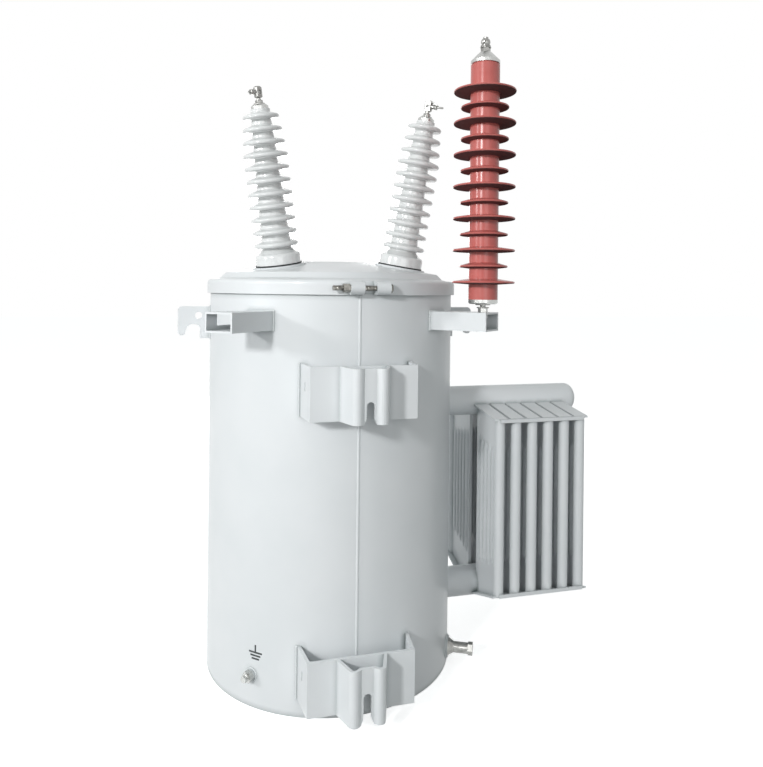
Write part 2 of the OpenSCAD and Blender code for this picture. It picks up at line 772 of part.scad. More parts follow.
// One wing of a fin, drawn to the +Y side of the pipes: a flat panel with a thick round edge,
// a flange over each slanted end and upright flutes with tapered ends
module fin_wing() {
    edge_y = fin_half_w - fin_edge_d / 2;
    flange_y = fin_half_w - fin_flange_in;
    height = fin_top_z - fin_low_z;
    intersection() {
        translate([0, 0, fin_low_z]) union() {
            translate([-fin_t / 2, 0, 0]) cube([fin_t, edge_y, height]);
            translate([0, edge_y, 0]) cylinder(d = fin_edge_d, h = height, $fn = 32);
        }
        wing_side(fin_flange_t / 2, fin_flange_t / 2, fin_half_w + cut, fin_flange_w);
    }
    difference() {
        wing_side(0, 0, flange_y, fin_flange_w);
        wing_side(fin_flange_t, fin_flange_t, flange_y + cut, fin_flange_w + 2 * cut);
        translate([0, fin_gap, (fin_top_z + fin_low_z) / 2])
            cube([fin_flange_w + 2 * cut, 2 * cut, height - 2 * fin_flange_t], center = true);
    }
    for (i = [0 : flutes - 1])
        let (y = fin_gap + flute_first + i * flute_pitch,
             low = fin_low(y) + flute_in,
             high = fin_top(y) - flute_in)
            translate([0, y, 0]) rotate_extrude($fn = 32) polygon([
                [0, low], [flute_d / 2, low + 2 * flute_d], [flute_d / 2, high - 2 * flute_d], [0, high]
            ]);
}

module radiator_fin(i) {
    color(paint) translate([tank_r + fin_first + i * fin_pitch, 0, 0]) difference() {
        for (side = [0, 1]) mirror([0, side, 0]) fin_wing();
        for (z = [pipe_z, pipe_top_z]) translate([0, 0, z]) rotate([0, 90, 0])
            cylinder(d = pipe_d + 2 * seat_gap, h = 2 * fin_flange_w, center = true);
    }
}

// A strip across the outer edges of all fins, one on each face
module tie_strips(z) {
    over = 4;
    color(paint) for (side = [-1, 1])
        translate([tank_r + fin_first - over, side * (fin_half_w + tie_t / 2), z])
            translate([0, -tie_t / 2, 0]) cube([fin_last - fin_first + 2 * over, tie_t, tie_h]);
}

module drain_boss() {
    color(paint) towards(drain_az, drain_z) difference() {
        out_from(tank_r / 2) cylinder(d = drain_boss_d, h = tank_r / 2 + drain_boss_len);
        translate([0, 0, -drain_z]) tank_cut();
    }
}

module drain_plug() {
    color(zinc) towards(drain_az, drain_z) out_from(tank_r + drain_boss_len) {
        rotate_extrude() polygon([
            [0, 0], [drain_cone_d / 2, 0], [drain_nipple_d / 2, drain_cone_len],
            [drain_nipple_d / 2, drain_cone_len + drain_nipple_len], [0, drain_cone_len + drain_nipple_len]
        ]);
        translate([0, 0, drain_cone_len + drain_nipple_len])
            linear_extrude(drain_plug_len) hexagon(drain_plug_w);
    }
}

module earth_boss() {
    color(paint) towards(earth_az, earth_z) difference() {
        out_from(tank_r / 2) cylinder(d = earth_boss_d, h = tank_r / 2 + earth_boss_len);
        translate([0, 0, -earth_z]) tank_cut();
    }
}

module earth_stud() {
    color(zinc) towards(earth_az, earth_z) out_from(tank_r + earth_boss_len) {
        cylinder(d = earth_stud_d, h = earth_stud_len);
        linear_extrude(earth_stud_d * nut_high) hexagon(earth_stud_d * nut_w);
    }
}

module lv_bushing(i) {
    step = (lv_body_len - lv_stud_d / 2) / lv_ribs;
    color(glaze) towards(180 + i * lv_az, lv_z) {
        difference() {
            out_from(tank_r / 2) cylinder(d = lv_collar_d, h = tank_r / 2 + lv_collar_len);
            translate([0, 0, -lv_z]) tank_cut();
        }
        out_from(lv_r) rotate_extrude() polygon(concat(
            [[0, 0]],
            [for (k = [0 : lv_ribs - 1]) each [
                [lv_body_d * 0.36, k * step], [lv_body_d / 2, k * step + step * 0.3],
                [lv_body_d / 2, k * step + step * 0.5], [lv_body_d * 0.36, k * step + step * 0.8]
            ]],
            [[lv_body_d * 0.3, lv_body_len], [0, lv_body_len]]
        ));
    }
}

module lv_stud(i) {
    color(brass) towards(180 + i * lv_az, lv_z) out_from(lv_r + lv_body_len) {
        cylinder(d = lv_stud_d, h = lv_stud_len);
        linear_extrude(lv_stud_d * head_high) hexagon(lv_stud_d * nut_w);
    }
}

tank_shell();
tank_base();
tank_cover();
clamp_band();
clamp_bolt();
hv_bushing(-1);  // hv_bushing_left
hv_bushing(1);  // hv_bushing_right
hv_gasket(-1);  // hv_gasket_left
hv_gasket(1);  // hv_gasket_right
hv_cap(-1);  // hv_cap_left
hv_cap(1);  // hv_cap_right
hv_terminal(-1);  // hv_terminal_left
hv_terminal(1);  // hv_terminal_right
arrester_bracket(-1);  // arrester_bracket_left
arrester_bracket(1);  // arrester_bracket_right
arrester_stud();
arrester_base_cap();
arrester_housing();
arrester_top_cap();
arrester_terminal();
lifting_lug(-1);  // lifting_lug_left
lifting_lug(1);  // lifting_lug_right
hanger(upper_hanger_z, upper_slot_len);  // upper_hanger
hanger(hanger_z, lower_slot_len);  // lower_hanger
header_pipe(pipe_top_z);  // upper_header_pipe
header_pipe(pipe_z);  // lower_header_pipe
for (i = [0 : fin_count - 1])
    radiator_fin(i);
tie_strips(fin_top(fin_half_w) - tie_h);  // upper_tie_strips
tie_strips(fin_low(fin_half_w));  // lower_tie_strips
drain_boss();
drain_plug();
earth_boss();
earth_stud();
lv_bushing(-1);  // lv_bushing_left
lv_bushing(0);  // lv_bushing_middle
lv_bushing(1);  // lv_bushing_right
lv_stud(-1);  // lv_stud_left
lv_stud(0);  // lv_stud_middle
lv_stud(1);  // lv_stud_right
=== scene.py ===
"""Looks of a pole mounted transformer: finishes, bushings, welds, threads, clamps and a plain studio."""

import json
from math import asin, atan2, ceil, cos, pi, radians, sin, tan

import bmesh
import bpy
from bpy.props import FloatProperty, FloatVectorProperty, IntProperty, PointerProperty
from mathutils import Matrix, Vector


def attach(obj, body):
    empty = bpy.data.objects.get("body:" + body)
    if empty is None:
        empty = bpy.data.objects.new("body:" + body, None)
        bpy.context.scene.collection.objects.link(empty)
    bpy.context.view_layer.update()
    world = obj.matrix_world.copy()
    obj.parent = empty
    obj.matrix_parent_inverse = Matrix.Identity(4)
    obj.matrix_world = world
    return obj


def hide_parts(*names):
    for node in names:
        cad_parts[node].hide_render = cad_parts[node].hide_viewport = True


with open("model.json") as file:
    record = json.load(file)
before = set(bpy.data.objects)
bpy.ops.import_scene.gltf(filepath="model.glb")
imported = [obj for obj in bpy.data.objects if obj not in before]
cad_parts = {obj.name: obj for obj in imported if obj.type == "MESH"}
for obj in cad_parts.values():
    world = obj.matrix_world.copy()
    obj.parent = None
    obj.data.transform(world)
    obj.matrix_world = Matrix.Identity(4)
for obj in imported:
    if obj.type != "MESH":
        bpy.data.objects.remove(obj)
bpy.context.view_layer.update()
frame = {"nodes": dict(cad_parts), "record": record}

bl_info = {
    "name": "Pole transformer looks",
    "version": (1, 0, 0),
    "blender": (4, 5, 0),
    "location": "View3D > Sidebar > Transformer",
    "description": "Finishes and small fittings of a pole mounted transformer, with a studio to look at it",
    "category": "Object",
}

MM = 0.001

# Tank and cover of the solid model, in millimetres and degrees like all the sizes below
TANK_R = 305.0
TANK_H = 921.0
COVER_SLOPE = 10.0
COVER_SHOULDER_IN = 36.0
COVER_SHOULDER_H = 39.0

# High voltage bushings, with heights along the bushing from its seat on the cover
HV_R = 181.0
HV_AZ = 56.0
HV_SEAT_Z = TANK_H + COVER_SHOULDER_H + (TANK_R - COVER_SHOULDER_IN - HV_R) * tan(radians(COVER_SLOPE))
HV_SEAT_H = 3.0
HV_GASKET_T = 3.5
HV_PORCELAIN_Z = HV_SEAT_H + HV_GASKET_T
HV_PORCELAIN_H = 360.0
HV_PORCELAIN_TOP = HV_PORCELAIN_Z + HV_PORCELAIN_H
HV_STEM_R = 29.0
HV_STEM_LEN = 60.0
HV_FLANGE_R = 53.5
HV_FLANGE_H = 26.0
HV_FLANGE_ROUND = HV_FLANGE_H / 3
HV_SHEDS = 11
HV_FIRST = 46.0
HV_PITCH = 29.64
HV_CORE_LOW_R = 34.5
HV_CORE_TOP_R = 23.0
HV_SHED_R = 52.5
HV_TOP_SHED_R = 42.0
HV_SHED_TAPER = 3.5
HV_CAP_H = 11.0
HV_EYE_Z = 27.5
HV_BOSS_LEN = 15.0

# Arrester and its bracket
ARM_AZ = 42.5
ARM_W = 70.0
ARM_TOP_Z = 873.0
ARM_H = 42.0
ARM_HOLE_R = 421.0
ARRESTER_BASE_Z = 892.0
ARRESTER_CAP_Z = 1461.0
ARRESTER_STUD_D = 12.0

# Bolt of the clamp band
BAND_AZ = 3.0
BAND_BOLT_R = 323.9
BAND_BOLT_Z = 925.0
BAND_BOLT_D = 10.0

# Hangers, lifting lugs and header pipes
HANGER_Z = 40.0
UPPER_HANGER_Z = 648.0
HANGER_H = 114.0
HANGER_FOOT = 122.0
LUG_AZ = 90.0
LUG_TOP_Z = 876.0
LUG_ROOT_H = 78.0
LUG_T = 14.0
PIPE_AZ = 90.0
PIPE_D = 78.0
PIPE_Z = 134.0
PIPE_TOP_Z = 623.0

# Earth stud, drain and low voltage bushings
EARTH_AZ = -45.0
EARTH_Z = 72.0
EARTH_BOSS_D = 24.0
EARTH_BOSS_LEN = 6.0
EARTH_STUD_D = 14.0
DRAIN_AZ = 62.0
DRAIN_Z = 38.0
DRAIN_BOSS_D = 50.0
LV_MIDDLE_AZ = 180.0
LV_AZ = 28.0
LV_Z = 780.0
LV_FACE_R = 373.0
LV_STUD_D = 20.0

# Edges sharper than this stay sharp, and corners nearer than this many metres are merged
SHARP_ANGLE = 38.0
MERGE_GAP = 1e-6

# Flat to flat over corner to corner of a hexagon
HEXAGON = cos(pi / 6)


def linear(code):
    """An sRGB hex colour as linear red, green, blue and alpha."""
    parts = [int(code[i:i + 2], 16) / 255 for i in (1, 3, 5)]
    return [c / 12.92 if c <= 0.04045 else ((c + 0.055) / 1.055) ** 2.4 for c in parts] + [1.0]


def colour(name, description, code):
    """A colour that a user may change."""
    return FloatVectorProperty(name=name, description=description, default=linear(code), subtype="COLOR",
                               size=4, min=0.0, max=1.0)


def length(name, description, mm):
    """A size that a user may change, given in millimetres."""
    return FloatProperty(name=name, description=description, default=mm * MM, min=0.0, unit="LENGTH")


def slope(name, description, degrees):
    """A slope that a user may change, given in degrees."""
    return FloatProperty(name=name, description=description, default=radians(degrees), min=0.0, max=1.0,
                         subtype="ANGLE")


def power(name, description, watts):
    """The power of a lamp, which a user may change."""
    return FloatProperty(name=name, description=description, default=watts, min=0.0, unit="POWER")


class TransformerFinish(bpy.types.PropertyGroup):
    """Colours of the transformer's finishes"""
    paint: colour("Paint", "Colour of the enamel on the tank and everything welded to it", "#E6E9EB")
    paint_deep: colour("Deep paint", "Colour of the enamel where it lies a little thicker", "#E1E5E7")
    # Painted shade: the colour that corners, creases and gaps of the enamel are darkened towards
    paint_corner_shade: colour("Paint in corners", "Colour of the enamel where dirt stays", "#7C8786")
    porcelain: colour("Porcelain", "Colour of the glaze on the bushings", "#E5E7E7")
    # Painted shade: the colour that the glaze deep between the sheds is darkened towards
    porcelain_groove_shade: colour("Porcelain in grooves", "Colour of the glaze deep between sheds", "#CDCFCE")
    silicone: colour("Silicone", "Colour of the rubber of the arrester", "#C2625C")
    silicone_dusty: colour("Dusty silicone", "Colour of the rubber where dust lies on it", "#CB706A")
    # Painted shade: the darker colour of the rubber on faces that point down, under the sheds
    silicone_underside_shade: colour("Sooty silicone", "Colour of the rubber under the sheds", "#745A5A")
    zinc: colour("Zinc", "Colour of plated studs, nuts and caps", "#C4C5C3")
    worn: colour("Worn zinc", "Colour of the oiled clamp bolt", "#A3A19B")
    tin: colour("Tin", "Colour of the tinned terminals and the drain fitting", "#A8A8A5")
    brass: colour("Brass", "Colour of the low voltage studs", "#A39274")
    gasket: colour("Gasket", "Colour of the rubber under the bushings", "#2C2E2F")
    mark: colour("Mark", "Colour of the painted earth sign", "#1E2122")


class TransformerFittings(bpy.types.PropertyGroup):
    """Sizes of the sheds, the welds, the threads and the earth sign"""
    shed_rim: length("Shed rim", "Radius of the round rim of a bushing's shed", 5.4)
    shed_root: length("Shed root", "Radius of the hollow between a shed and the core", 3.0)
    shed_over: slope("Shed slope", "Slope of a shed's upper side", 17)
    shed_under: slope("Shed underside", "Slope of a shed's lower side", 8)
    weld_width: length("Weld width", "Width of the weld beads on the tank", 6.0)
    weld_ripple: length("Weld ripple", "Distance between two ripples of a weld bead", 3.2)
    weld_seed: IntProperty(name="Weld seed", description="Picks the unevenness of the ripples", default=4,
                           min=0)
    thread_share: FloatProperty(name="Thread pitch", description="Pitch of a thread as a share of its width",
                                default=0.17, min=0.05, max=0.5, subtype="FACTOR")
    sign_width: length("Sign width", "Width of the longest bar of the earth sign", 35.0)
    sign_height: length("Sign height", "Height of the earth sign", 32.0)
    sign_line: length("Sign line", "Width of the lines of the earth sign", 3.6)


class TransformerStage(bpy.types.PropertyGroup):
    """Floor, lamps and lens of the studio"""
    floor_size: length("Floor", "Length of each side of the floor", 40000.0)
    key: power("Key light", "Power of the small lamp at the left of the camera", 81.0)
    side: power("Side light", "Power of the lamp at the far left", 39.0)
    front: power("Front light", "Power of the soft lamp by the camera", 22.0)
    back: power("Back light", "Power of the soft lamp behind the tank", 45.0)
    sky: FloatProperty(name="Sky", description="Strength of the soft light from all sides", default=0.43,
                       min=0.0)
    glow: FloatProperty(name="Floor glow", description="Strength that lifts the floor to white",
                        default=0.67, min=0.0)
    lens: FloatProperty(name="Lens", description="Focal length of the camera", default=33.0 * MM, min=0.01,
                        unit="CAMERA")


def add(tree, kind, inputs=None, **settings):
    """Adds a node with its settings, and sets or links its inputs by name or number."""
    node = tree.nodes.new(kind)
    for key, value in settings.items():
        setattr(node, key, value)
    for key, value in (inputs or {}).items():
        if isinstance(value, bpy.types.NodeSocket):
            tree.links.new(value, node.inputs[key])
        else:
            node.inputs[key].default_value = value
    return node


# Nearly all of a noise lies between these two values
NOISE = {"From Min": 0.3, "From Max": 0.7}

# How far the painted shade reaches out of a corner of the paint and a groove of the porcelain, in metres
PAINT_CORNER_SHADE = {"Distance": 14 * MM}
GROOVE_SHADE = {"Distance": 11 * MM}


def per_metre(mm):
    """Scale of a noise whose blotches are about this many millimetres across."""
    return 1.0 / (mm * MM)


def shaded(tone, share):
    """A colour times a share: darker under 1, lighter over it."""
    return [min(1.0, c * share) for c in tone[:3]] + [1.0]


def new_material(name):
    """An empty material, its tree and its object coordinates."""
    material = bpy.data.materials.new(name)
    material.use_nodes = True
    tree = material.node_tree
    tree.nodes.clear()
    return material, tree, add(tree, "ShaderNodeTexCoord").outputs["Object"]


def enamel(finish):
    """Sprayed gloss enamel on rolled steel: soft wide highlights, a slow waviness and painted shade in the
    corners.
    """
    material, tree, spot = new_material("Gloss enamel on rolled steel")
    clouds = add(tree, "ShaderNodeTexNoise", {
        "Vector": spot, "Scale": per_metre(140), "Detail": 3.0}).outputs[0]
    wave = add(tree, "ShaderNodeTexNoise", {
        "Vector": spot, "Scale": per_metre(90), "Detail": 0.0}).outputs[0]
    # Real orange peel is 1 to 2 mm wide, which is less than a pixel, so it is drawn coarser
    peel = add(tree, "ShaderNodeTexNoise", {
        "Vector": spot, "Scale": per_metre(3.5), "Detail": 1.0}).outputs[0]
    thick = add(tree, "ShaderNodeMapRange", {"Value": clouds, **NOISE}).outputs[0]
    coat = add(tree, "ShaderNodeMix", {
        0: thick, 6: finish.paint, 7: finish.paint_deep}, data_type="RGBA").outputs[2]
    # Painted shade: ambient occlusion darkens the enamel towards the corner colour in corners, creases and
    # gaps
    painted_shade_mask = add(tree, "ShaderNodeAmbientOcclusion", PAINT_CORNER_SHADE, samples=6).outputs["AO"]
    with_painted_shade = add(tree, "ShaderNodeMix", {
        0: painted_shade_mask, 6: finish.paint_corner_shade, 7: coat}, data_type="RGBA").outputs[2]
    gloss = add(tree, "ShaderNodeMapRange", {
        "Value": clouds, **NOISE, "To Min": 0.36, "To Max": 0.44}).outputs[0]
    slow = add(tree, "ShaderNodeBump", {"Height": wave, "Strength": 0.25, "Distance": 0.8 * MM}).outputs[0]
    fine = add(tree, "ShaderNodeBump", {
        "Height": peel, "Strength": 0.12, "Distance": 0.05 * MM, "Normal": slow})
    shader = add(tree, "ShaderNodeBsdfPrincipled", {
        "Base Color": with_painted_shade, "Roughness": gloss, "Normal": fine.outputs[0], "IOR": 1.5, "Coat Weight": 0.12,
        "Coat Roughness": 0.15})
    add(tree, "ShaderNodeOutputMaterial", {"Surface": shader.outputs[0]})
    return material


def porcelain(finish):
    """Glazed porcelain: a white body under a thick clear glaze with sharp highlights and painted shade in
    the grooves.
    """
    material, tree, spot = new_material("Glazed porcelain")
    # Real specks in a glaze are under 1 mm, which is less than a pixel, so they are drawn coarser
    specks = add(tree, "ShaderNodeTexNoise", {
        "Vector": spot, "Scale": per_metre(4), "Detail": 4.0}).outputs[0]
    clouds = add(tree, "ShaderNodeTexNoise", {
        "Vector": spot, "Scale": per_metre(30), "Detail": 1.0}).outputs[0]
    speck = add(tree, "ShaderNodeMapRange", {"Value": specks, **NOISE}).outputs[0]
    glazed = add(tree, "ShaderNodeMix", {0: speck, 6: finish.porcelain, 7: shaded(finish.porcelain, 0.93)},
                 data_type="RGBA").outputs[2]
    # Painted shade: ambient occlusion darkens the glaze towards the groove colour between the sheds
    painted_shade_mask = add(tree, "ShaderNodeAmbientOcclusion", GROOVE_SHADE, samples=6).outputs["AO"]
    glaze_with_groove_shade = add(tree, "ShaderNodeMix", {0: painted_shade_mask, 6: finish.porcelain_groove_shade, 7: glazed},
                data_type="RGBA").outputs[2]
    gloss = add(tree, "ShaderNodeMapRange", {
        "Value": clouds, **NOISE, "To Min": 0.16, "To Max": 0.24}).outputs[0]
    flow = add(tree, "ShaderNodeBump", {"Height": clouds, "Strength": 0.2, "Distance": 0.3 * MM}).outputs[0]
    shader = add(tree, "ShaderNodeBsdfPrincipled", {
        "Base Color": glaze_with_groove_shade, "Roughness": gloss, "Normal": flow, "IOR": 1.52, "Coat Weight": 0.6,
        "Coat Roughness": 0.05})
    add(tree, "ShaderNodeOutputMaterial", {"Surface": shader.outputs[0]})
    return material


def silicone(finish):
    """Moulded silicone rubber: a warm red with a satin skin and a pale bloom, and painted shade under the
    sheds.
    """
    material, tree, spot = new_material("Moulded silicone rubber")
    bloom = add(tree, "ShaderNodeTexNoise", {
        "Vector": spot, "Scale": per_metre(35), "Detail": 5.0}).outputs[0]
    # The mould's real grain is far under 1 mm, which is less than a pixel, so it is drawn coarser
    grain = add(tree, "ShaderNodeTexNoise", {
        "Vector": spot, "Scale": per_metre(1.8), "Detail": 2.0}).outputs[0]
    patch = add(tree, "ShaderNodeMapRange", {"Value": bloom, **NOISE}).outputs[0]
    skin = add(tree, "ShaderNodeMix", {0: patch, 6: finish.silicone, 7: finish.silicone_dusty},
               data_type="RGBA").outputs[2]
    # Painted shade: faces that point down, such as the undersides of the sheds, get a darker colour, a rough
    # skin and no gloss
    normal = add(tree, "ShaderNodeNewGeometry").outputs["Normal"]
    facing = add(tree, "ShaderNodeSeparateXYZ", {0: normal}).outputs["Z"]
    underside_shade = add(tree, "ShaderNodeMapRange", {"Value": facing, "From Min": -0.3, "From Max": -0.7}).outputs[0]
    with_painted_shade = add(tree, "ShaderNodeMix", {
        0: underside_shade, 6: skin, 7: finish.silicone_underside_shade}, data_type="RGBA").outputs[2]
    gloss = add(tree, "ShaderNodeMapRange", {"Value": underside_shade, "To Min": 0.5, "To Max": 0.0}).outputs[0]
    satin = add(tree, "ShaderNodeMapRange", {
        "Value": bloom, **NOISE, "To Min": 0.22, "To Max": 0.28}).outputs[0]
    rough = add(tree, "ShaderNodeMix", {0: underside_shade, 2: satin, 3: 0.8}).outputs[0]
    bumps = add(tree, "ShaderNodeBump", {
        "Height": grain, "Strength": 0.15, "Distance": 0.05 * MM}).outputs[0]
    shader = add(tree, "ShaderNodeBsdfPrincipled", {
        "Base Color": with_painted_shade, "Roughness": rough, "Normal": bumps, "Specular IOR Level": gloss, "IOR": 1.45})
    add(tree, "ShaderNodeOutputMaterial", {"Surface": shader.outputs[0]})
    return material


def zinc(finish):
    """Bright zinc plate on steel: a grey metal with small soft crystals and a satin gloss."""
    material, tree, spot = new_material("Bright zinc plate")
    # The real crystals are too fine to see from here, so they are drawn coarser
    crystals = add(tree, "ShaderNodeTexVoronoi", {"Vector": spot, "Scale": per_metre(3)}).outputs["Color"]
    shade = add(tree, "ShaderNodeRGBToBW", {0: crystals}).outputs[0]
    dark = add(tree, "ShaderNodeMapRange", {"Value": shade, **NOISE}).outputs[0]
    plate = add(tree, "ShaderNodeMix", {
        0: dark, 6: finish.zinc, 7: shaded(finish.zinc, 0.88)}, data_type="RGBA")
    gloss = add(tree, "ShaderNodeMapRange", {
        "Value": shade, **NOISE, "To Min": 0.26, "To Max": 0.40}).outputs[0]
    shader = add(tree, "ShaderNodeBsdfPrincipled", {
        "Base Color": plate.outputs[2], "Roughness": gloss, "Metallic": 1.0})
    add(tree, "ShaderNodeOutputMaterial", {"Surface": shader.outputs[0]})
    return material


def worn_zinc(finish):
    """Worn zinc plate with oil and dirt in it: a darker grey metal with near black stains."""
    material, tree, spot = new_material("Worn oily zinc plate")
    stains = add(tree, "ShaderNodeTexNoise", {
        "Vector": spot, "Scale": per_metre(9), "Detail": 2.0}).outputs[0]
    dark = add(tree, "ShaderNodeMapRange", {"Value": stains, **NOISE}).outputs[0]
    plate = add(tree, "ShaderNodeMix", {
        0: dark, 6: finish.worn, 7: shaded(finish.worn, 0.25)}, data_type="RGBA")
    gloss = add(tree, "ShaderNodeMapRange", {
        "Value": stains, **NOISE, "To Min": 0.22, "To Max": 0.4}).outputs[0]
    shader = add(tree, "ShaderNodeBsdfPrincipled", {
        "Base Color": plate.outputs[2], "Roughness": gloss, "Metallic": 1.0})
    add(tree, "ShaderNodeOutputMaterial", {"Surface": shader.outputs[0]})
    return material


def tin(finish):
    """Tinned bronze: a soft grey metal with a satin gloss and a slow change of tone."""
    material, tree, spot = new_material("Tinned bronze")
    tone = add(tree, "ShaderNodeTexNoise", {"Vector": spot, "Scale": per_metre(8), "Detail": 2.0}).outputs[0]
    dark = add(tree, "ShaderNodeMapRange", {"Value": tone, **NOISE}).outputs[0]
    plate = add(tree, "ShaderNodeMix", {
        0: dark, 6: finish.tin, 7: shaded(finish.tin, 0.66)}, data_type="RGBA")
    gloss = add(tree, "ShaderNodeMapRange", {
        "Value": tone, **NOISE, "To Min": 0.28, "To Max": 0.4}).outputs[0]
    shader = add(tree, "ShaderNodeBsdfPrincipled", {
        "Base Color": plate.outputs[2], "Roughness": gloss, "Metallic": 1.0})
    add(tree, "ShaderNodeOutputMaterial", {"Surface": shader.outputs[0]})
    return material


def brass(finish):
    """Turned brass that has dulled outdoors: a brown grey metal with darker stains."""
    material, tree, spot = new_material("Dulled turned brass")
    stains = add(tree, "ShaderNodeTexNoise", {
        "Vector": spot, "Scale": per_metre(9), "Detail": 5.0}).outputs[0]
    dark = add(tree, "ShaderNodeMapRange", {"Value": stains, **NOISE}).outputs[0]
    metal = add(tree, "ShaderNodeMix", {
        0: dark, 6: finish.brass, 7: shaded(finish.brass, 0.6)}, data_type="RGBA")
    gloss = add(tree, "ShaderNodeMapRange", {
        "Value": stains, **NOISE, "To Min": 0.26, "To Max": 0.46}).outputs[0]
    shader = add(tree, "ShaderNodeBsdfPrincipled", {
        "Base Color": metal.outputs[2], "Roughness": gloss, "Metallic": 1.0})
    add(tree, "ShaderNodeOutputMaterial", {"Surface": shader.outputs[0]})
    return material


def gasket(finish):
    """Pressed gasket rubber: a dull near black with a fine grain."""
    material, tree, spot = new_material("Pressed gasket rubber")
    # The real grain is under 1 mm, which is less than a pixel, so it is drawn coarser
    grain = add(tree, "ShaderNodeTexNoise", {
        "Vector": spot, "Scale": per_metre(2), "Detail": 3.0}).outputs[0]
    pale = add(tree, "ShaderNodeMapRange", {"Value": grain, **NOISE}).outputs[0]
    rubber = add(tree, "ShaderNodeMix", {0: pale, 6: finish.gasket, 7: shaded(finish.gasket, 1.8)},
                 data_type="RGBA").outputs[2]
    dull = add(tree, "ShaderNodeMapRange", {
        "Value": grain, **NOISE, "To Min": 0.6, "To Max": 0.8}).outputs[0]
    shader = add(tree, "ShaderNodeBsdfPrincipled", {"Base Color": rubber, "Roughness": dull})
    add(tree, "ShaderNodeOutputMaterial", {"Surface": shader.outputs[0]})
    return material


def stencil(finish):
    """Stencilled sign paint: a near black with thin spots where the enamel below shows through a little."""
    material, tree, spot = new_material("Stencilled sign paint")
    thin = add(tree, "ShaderNodeTexNoise", {
        "Vector": spot, "Scale": per_metre(2.5), "Detail": 4.0}).outputs[0]
    pale = add(tree, "ShaderNodeMapRange", {"Value": thin, **NOISE}).outputs[0]
    paint = add(tree, "ShaderNodeMix", {
        0: pale, 6: finish.mark, 7: shaded(finish.mark, 3.0)}, data_type="RGBA")
    dull = add(tree, "ShaderNodeMapRange", {
        "Value": thin, **NOISE, "To Min": 0.35, "To Max": 0.5}).outputs[0]
    shader = add(tree, "ShaderNodeBsdfPrincipled", {"Base Color": paint.outputs[2], "Roughness": dull})
    add(tree, "ShaderNodeOutputMaterial", {"Surface": shader.outputs[0]})
    return material


MAKERS = {
    "grey_paint": enamel,
    "porcelain": porcelain,
    "silicone_rubber": silicone,
    "zinc_steel": zinc,
    "worn_zinc": worn_zinc,
    "tinned_bronze": tin,
    "brass": brass,
    "gasket_rubber": gasket,
    "sign_paint": stencil,
}
# Nodes whose finish differs from the other nodes of their slot
NODE_FINISH = {
    "clamp_bolt": "worn_zinc",
    "drain_plug": "tinned_bronze",
    "hv_terminal_left": "tinned_bronze",
    "hv_terminal_right": "tinned_bronze",
    "arrester_terminal": "tinned_bronze",
}
finishes = {}


def finish_for(name):
    """The material of a slot or of another finish, made the first time that it is asked for."""
    if name not in finishes:
        finishes[name] = MAKERS[name](bpy.context.scene.transformer_finish)
    return finishes[name]


def place(x, y, z):
    """A move by millimetres."""
    return Matrix.Translation(Vector((x, y, z)) * MM)


def turn(degrees, axis):
    """A turn about an axis."""
    return Matrix.Rotation(radians(degrees), 4, axis)


def towards(az, r, z):
    """A place round the tank: its own -Y points away from the tank axis."""
    return turn(az, "Z") @ place(0, -r, z)


def out_of_tank(az, r, z):
    """A place round the tank whose own +Z points away from the tank axis."""
    return towards(az, r, z) @ turn(90, "X")


def on_hv_seat(side, height):
    """A place on the axis of a high voltage bushing, at a height over its seat."""
    return towards(side * HV_AZ, HV_R, HV_SEAT_Z) @ turn(COVER_SLOPE, "X") @ place(0, 0, height)


def on_arrester(z):
    """A place on the axis of the arrester."""
    return towards(ARM_AZ, ARM_HOLE_R, z)


def lathe(shape, outline, matrix, steps=48):
    """Turns an outline of (radius, height) pairs in millimetres round the local Z axis into a solid."""
    rings = []
    for r, z in outline:
        angles = [2 * pi * i / steps for i in range(1 if r == 0 else steps)]
        rings.append([shape.verts.new(matrix @ (Vector((r * cos(a), r * sin(a), z)) * MM)) for a in angles])
    for low, high in zip(rings, rings[1:]):
        for i in range(steps):
            j = (i + 1) % steps
            corners = [low[i % len(low)], low[j % len(low)], high[j % len(high)], high[i % len(high)]]
            face = [v for k, v in enumerate(corners) if v not in corners[:k]]
            if len(face) > 2:
                shape.faces.new(face)


def prism(shape, outline, depth, matrix, edge):
    """Raises an outline of (x, y) pairs in millimetres along the local Z axis, with bevelled edges."""
    low = [shape.verts.new(matrix @ (Vector((x, y, 0)) * MM)) for x, y in outline]
    high = [shape.verts.new(matrix @ (Vector((x, y, depth)) * MM)) for x, y in outline]
    faces = [shape.faces.new(low[::-1]), shape.faces.new(high)]
    for i in range(len(low)):
        j = (i + 1) % len(low)
        faces.append(shape.faces.new((low[i], low[j], high[j], high[i])))
    edges = list({e for f in faces for e in f.edges})
    bmesh.ops.bevel(shape, geom=edges, offset=edge * MM, segments=2, affect="EDGES", profile=0.5)


def hexagon(width):
    """Corners of a hexagon with a width over its flats."""
    return [(width / HEXAGON / 2 * cos(pi / 3 * i), width / HEXAGON / 2 * sin(pi / 3 * i)) for i in range(6)]


def washer_outline(outer, hole, height):
    """Outline of a flat washer with soft edges."""
    edge = min(0.5, height / 4)
    return [(hole, 0), (outer - edge, 0), (outer, edge), (outer, height - edge), (outer - edge, height),
            (hole, height), (hole, 0)]


def add_piece(name, mesh, slot, finish=None):
    """Makes a mesh a piece of the transformer with the finish of its slot, or with another one."""
    mesh.materials.clear()
    mesh.materials.append(finish_for(finish or slot))
    mesh.polygons.foreach_set("use_smooth", [True] * len(mesh.polygons))
    mesh.set_sharp_from_angle(angle=radians(SHARP_ANGLE))
    piece = bpy.data.objects.new(name, mesh)
    bpy.context.scene.collection.objects.link(piece)
    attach(piece, "root")
    return piece


